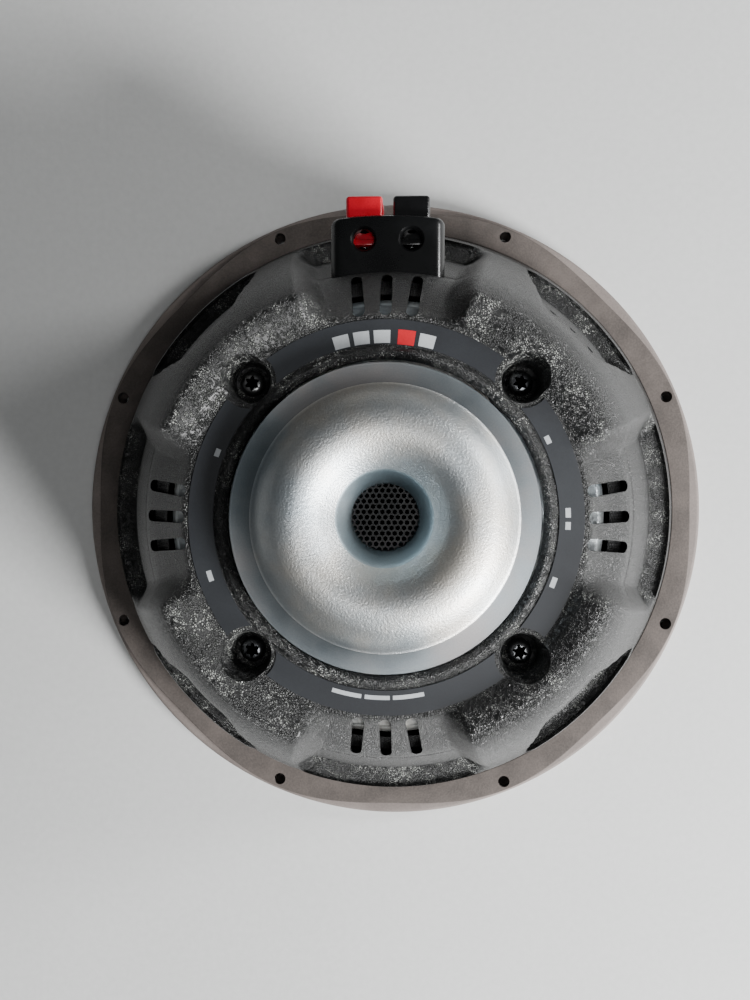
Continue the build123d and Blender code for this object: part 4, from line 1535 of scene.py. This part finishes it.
class Terminals:
    """Moulded block with two tiers of sprung push buttons."""

    def outline(self, front: float, inset: float, z: float, narrow: float = 0.0) -> list[Point]:
        """Plan of the block at a height: it wraps the frame's wall behind and bows forward in front."""
        half = 19.6 - inset - narrow
        wall = wall_radius(z) - 1.0
        across = [-half + 2 * half * k / 12 for k in range(13)]
        points = [(x, math.sqrt(wall ** 2 - x ** 2), z) for x in reversed(across)]
        corner = 2.2
        for k in range(5):
            bend = math.radians(180 - 90 * k / 4)
            points.append(
                (
                    -half + corner + corner * math.cos(bend),
                    front - 1.0 - inset - corner + corner * math.sin(bend), z
                )
            )
        for x in across[2:-2]:
            points.append((x, front - inset - 1.0 * (x / half) ** 2, z))
        for k in range(5):
            bend = math.radians(90 - 90 * k / 4)
            points.append(
                (
                    half - corner + corner * math.cos(bend),
                    front - 1.0 - inset - corner + corner * math.sin(bend), z
                )
            )
        return points

    def housing(self) -> None:
        """The block, hollowed for buttons, springs and wires."""
        levels = [
            (LOWER.front, 1.1, LOWER.bottom), (LOWER.front, 0.35, LOWER.bottom + 0.3),
            (LOWER.front, 0.0, LOWER.bottom + 1.1), (LOWER.front, 0.0, LOWER.top - 1.0),
            (LOWER.front, 0.3, LOWER.top - 0.3), (LOWER.front, 0.9, LOWER.top),
            (UPPER.front, 0.5, UPPER.bottom + 0.02), (UPPER.front, 0.05, UPPER.bottom + 0.6),
            (UPPER.front, 0.0, UPPER.top - 3.6), (UPPER.front, 0.0, UPPER.top - 2.6, 0.25),
            (UPPER.front, 0.05, UPPER.top - 1.6, 0.75),
            (UPPER.front, 0.2, UPPER.top - 0.8, 1.3), (UPPER.front, 0.6, UPPER.top - 0.25, 1.7),
            (UPPER.front, 1.3, UPPER.top, 2.1),
        ]
        rows = [[tuple(c * MM for c in p) for p in self.outline(*level)] for level in levels]
        mesh = sheet_mesh("terminal_block", rows, False, True)
        close_ends(mesh)
        tidy_mesh(mesh, 30.0)
        block_piece = object_from("terminal_block", mesh, Finishes.abs_satin.material())
        for tier in (UPPER, LOWER):
            rear = tier.heel - 4.9
            low, high = tier.button - BUTTON_H / 2, tier.button + BUTTON_H / 2
            for x in (-TERMINAL_X, TERMINAL_X):
                half = BUTTON_HALF + 0.15
                wide = block(
                    "wide", (x - half - 0.8, rear, low - 0.95),
                    (x + half + 0.8, tier.heel + 2.05, high + 0.95), None
                )
                narrow = block(
                    "narrow", (x - half, tier.heel, low - 0.15), (x + half, tier.front + 5, high + 0.15),
                    None
                )
                carve(block_piece, [wide, narrow])
                carve(block_piece, [lathe("wire_hole", self.mouth(tier), None, 40, centre=(x, tier.wire_y))])
        tidy_mesh(block_piece.data, 30.0)
        place(block_piece, Body.FRAME, "moulded_abs", "terminal_housing")

    def mouth(self, tier: Tier) -> list[tuple[float, float]]:
        """Section of a tier's wire hole, flared where the wire goes in."""
        r = tier.wire_r
        if tier is UPPER:
            return [(0, 94), (r, 94), (r, 98.9), (r + 0.35, 99.5), (r + 1.1, 100.2), (r + 1.1, 102), (0, 102)]
        return [(0, 67), (r + 0.9, 67), (r + 0.9, 68.9), (r, 69.8), (r, 73), (0, 73)]

    def button(self, tier: Tier, x: float, body: Body) -> None:
        """One push button with its collar, cross hole, spring seat and return spring."""
        red = body.value.startswith("red")
        finish = Finishes.abs_red if red else Finishes.abs_black
        low, high = tier.button - BUTTON_H / 2, tier.button + BUTTON_H / 2
        piece = block(
            f"{body.value}_cap", (x - BUTTON_HALF, tier.heel + 0.5, low), (x + BUTTON_HALF, tier.tip, high),
            finish.material(), 1.3, 5,
        )
        collar = block(
            "collar", (x - BUTTON_HALF - 0.75, tier.heel, low - 0.75),
            (x + BUTTON_HALF + 0.75, tier.heel + 2.0, high + 0.75),
            finish.material(), 0.3, 2,
        )
        carve(piece, [collar], "UNION")
        hole = prism(
            "cross_hole", disc_outline(x, tier.heel + TRAVEL + 2.6, low - 3, 2.6), (0, 0, BUTTON_H + 6)
        )
        seat = prism("seat", disc_outline(x, tier.heel - 1, tier.button + 2.0, 1.75, 24, False), (0, 4.5, 0))
        carve(piece, [hole, seat])
        tidy_mesh(piece.data, 35.0)
        place(piece, body, "red_abs" if red else "black_gloss_abs", body.value)
        near = tier.heel - 4.85
        far = tier.heel + 3.4
        turns = 6
        path = []
        for k in range(turns * 14 + 1):
            bend = 2 * math.pi * k / 14
            y = near + 0.25 + (far - near - 0.5) * k / (turns * 14)
            path.append((x + 1.4 * math.cos(bend), y, tier.button + 2.0 + 1.4 * math.sin(bend)))
        name = body.value.replace("button", "spring")
        spring = tube(f"{name}_wire", path, 0.25, Finishes.spring.material(), 8)
        place(spring, Body.FRAME, "spring_steel", name)
        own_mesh(spring)

    def build(self) -> None:
        """Make the block, four buttons and four springs."""
        self.housing()
        self.button(UPPER, -TERMINAL_X, Body.RED_UPPER)
        self.button(UPPER, TERMINAL_X, Body.BLACK_UPPER)
        self.button(LOWER, -TERMINAL_X, Body.RED_LOWER)
        self.button(LOWER, TERMINAL_X, Body.BLACK_LOWER)


class Studio:
    """Pale floor, soft lights and the camera."""

    def floor(self) -> None:
        """Plain painted floor under the driver."""
        rows = [[(-2.0, y, -0.0003), (2.0, y, -0.0003)] for y in (-2.0, 2.0)]
        mesh = sheet_mesh("studio_floor", rows, False, False)
        piece = object_from("studio_floor", mesh, Finishes.floor.material())

    def light(self, name: str, spot: Point, size: float, watts: float, target: Point = (0, 0, 0.06)) -> None:
        """One soft area light aimed at a point."""
        lamp = bpy.data.lights.new(name, "AREA")
        lamp.shape = "DISK"
        lamp.size = size
        lamp.energy = watts
        made = bpy.data.objects.new(name, lamp)
        made.location = spot
        made.rotation_euler = (Vector(target) - Vector(spot)).to_track_quat("-Z", "Y").to_euler()
        bpy.context.scene.collection.objects.link(made)

    def camera(self) -> None:
        """Camera above the motor, nearly on the driver's axis."""
        lens = bpy.data.cameras.new("camera")
        lens.lens = 32.4
        lens.sensor_width = 36.0
        made = bpy.data.objects.new("camera", lens)
        turn = Matrix.Rotation(math.radians(-0.09), 3, "Z") @ Matrix.Rotation(math.radians(-2.08), 3, "Y")
        turn = turn @ Matrix.Rotation(math.radians(0.58), 3, "X")
        made.matrix_world = Matrix.Translation((0.0070, 0.0083, 0.4085)) @ turn.transposed().to_4x4()
        bpy.context.scene.collection.objects.link(made)
        bpy.context.scene.camera = made

    def build(self) -> None:
        """Set the whole studio."""
        self.floor()
        self.light("main_softbox", (0.90, -0.72, 0.68), 0.50, 52.0)
        self.light("side_window", (1.15, 0.42, 0.62), 0.35, 13.0, (0.0, 0.08, 0.09))
        self.light("overhead_fill", (0.22, -0.22, 1.15), 0.42, 2.6)
        self.camera()
        world = bpy.data.worlds.new("studio")
        world.use_nodes = True
        world.node_tree.nodes["Background"].inputs["Color"].default_value = linear("#dfe2e4")
        world.node_tree.nodes["Background"].inputs["Strength"].default_value = 0.11
        bpy.context.scene.world = world


def main() -> None:
    """Build the driver and its studio."""
    logging.basicConfig(level=logging.INFO)
    for group in (FrameParts(), Motor(), Diaphragm(), Terminals(), Studio()):
        group.build()
        LOG.info("built %s", type(group).__name__)


if __name__ == "__main__":
    main()
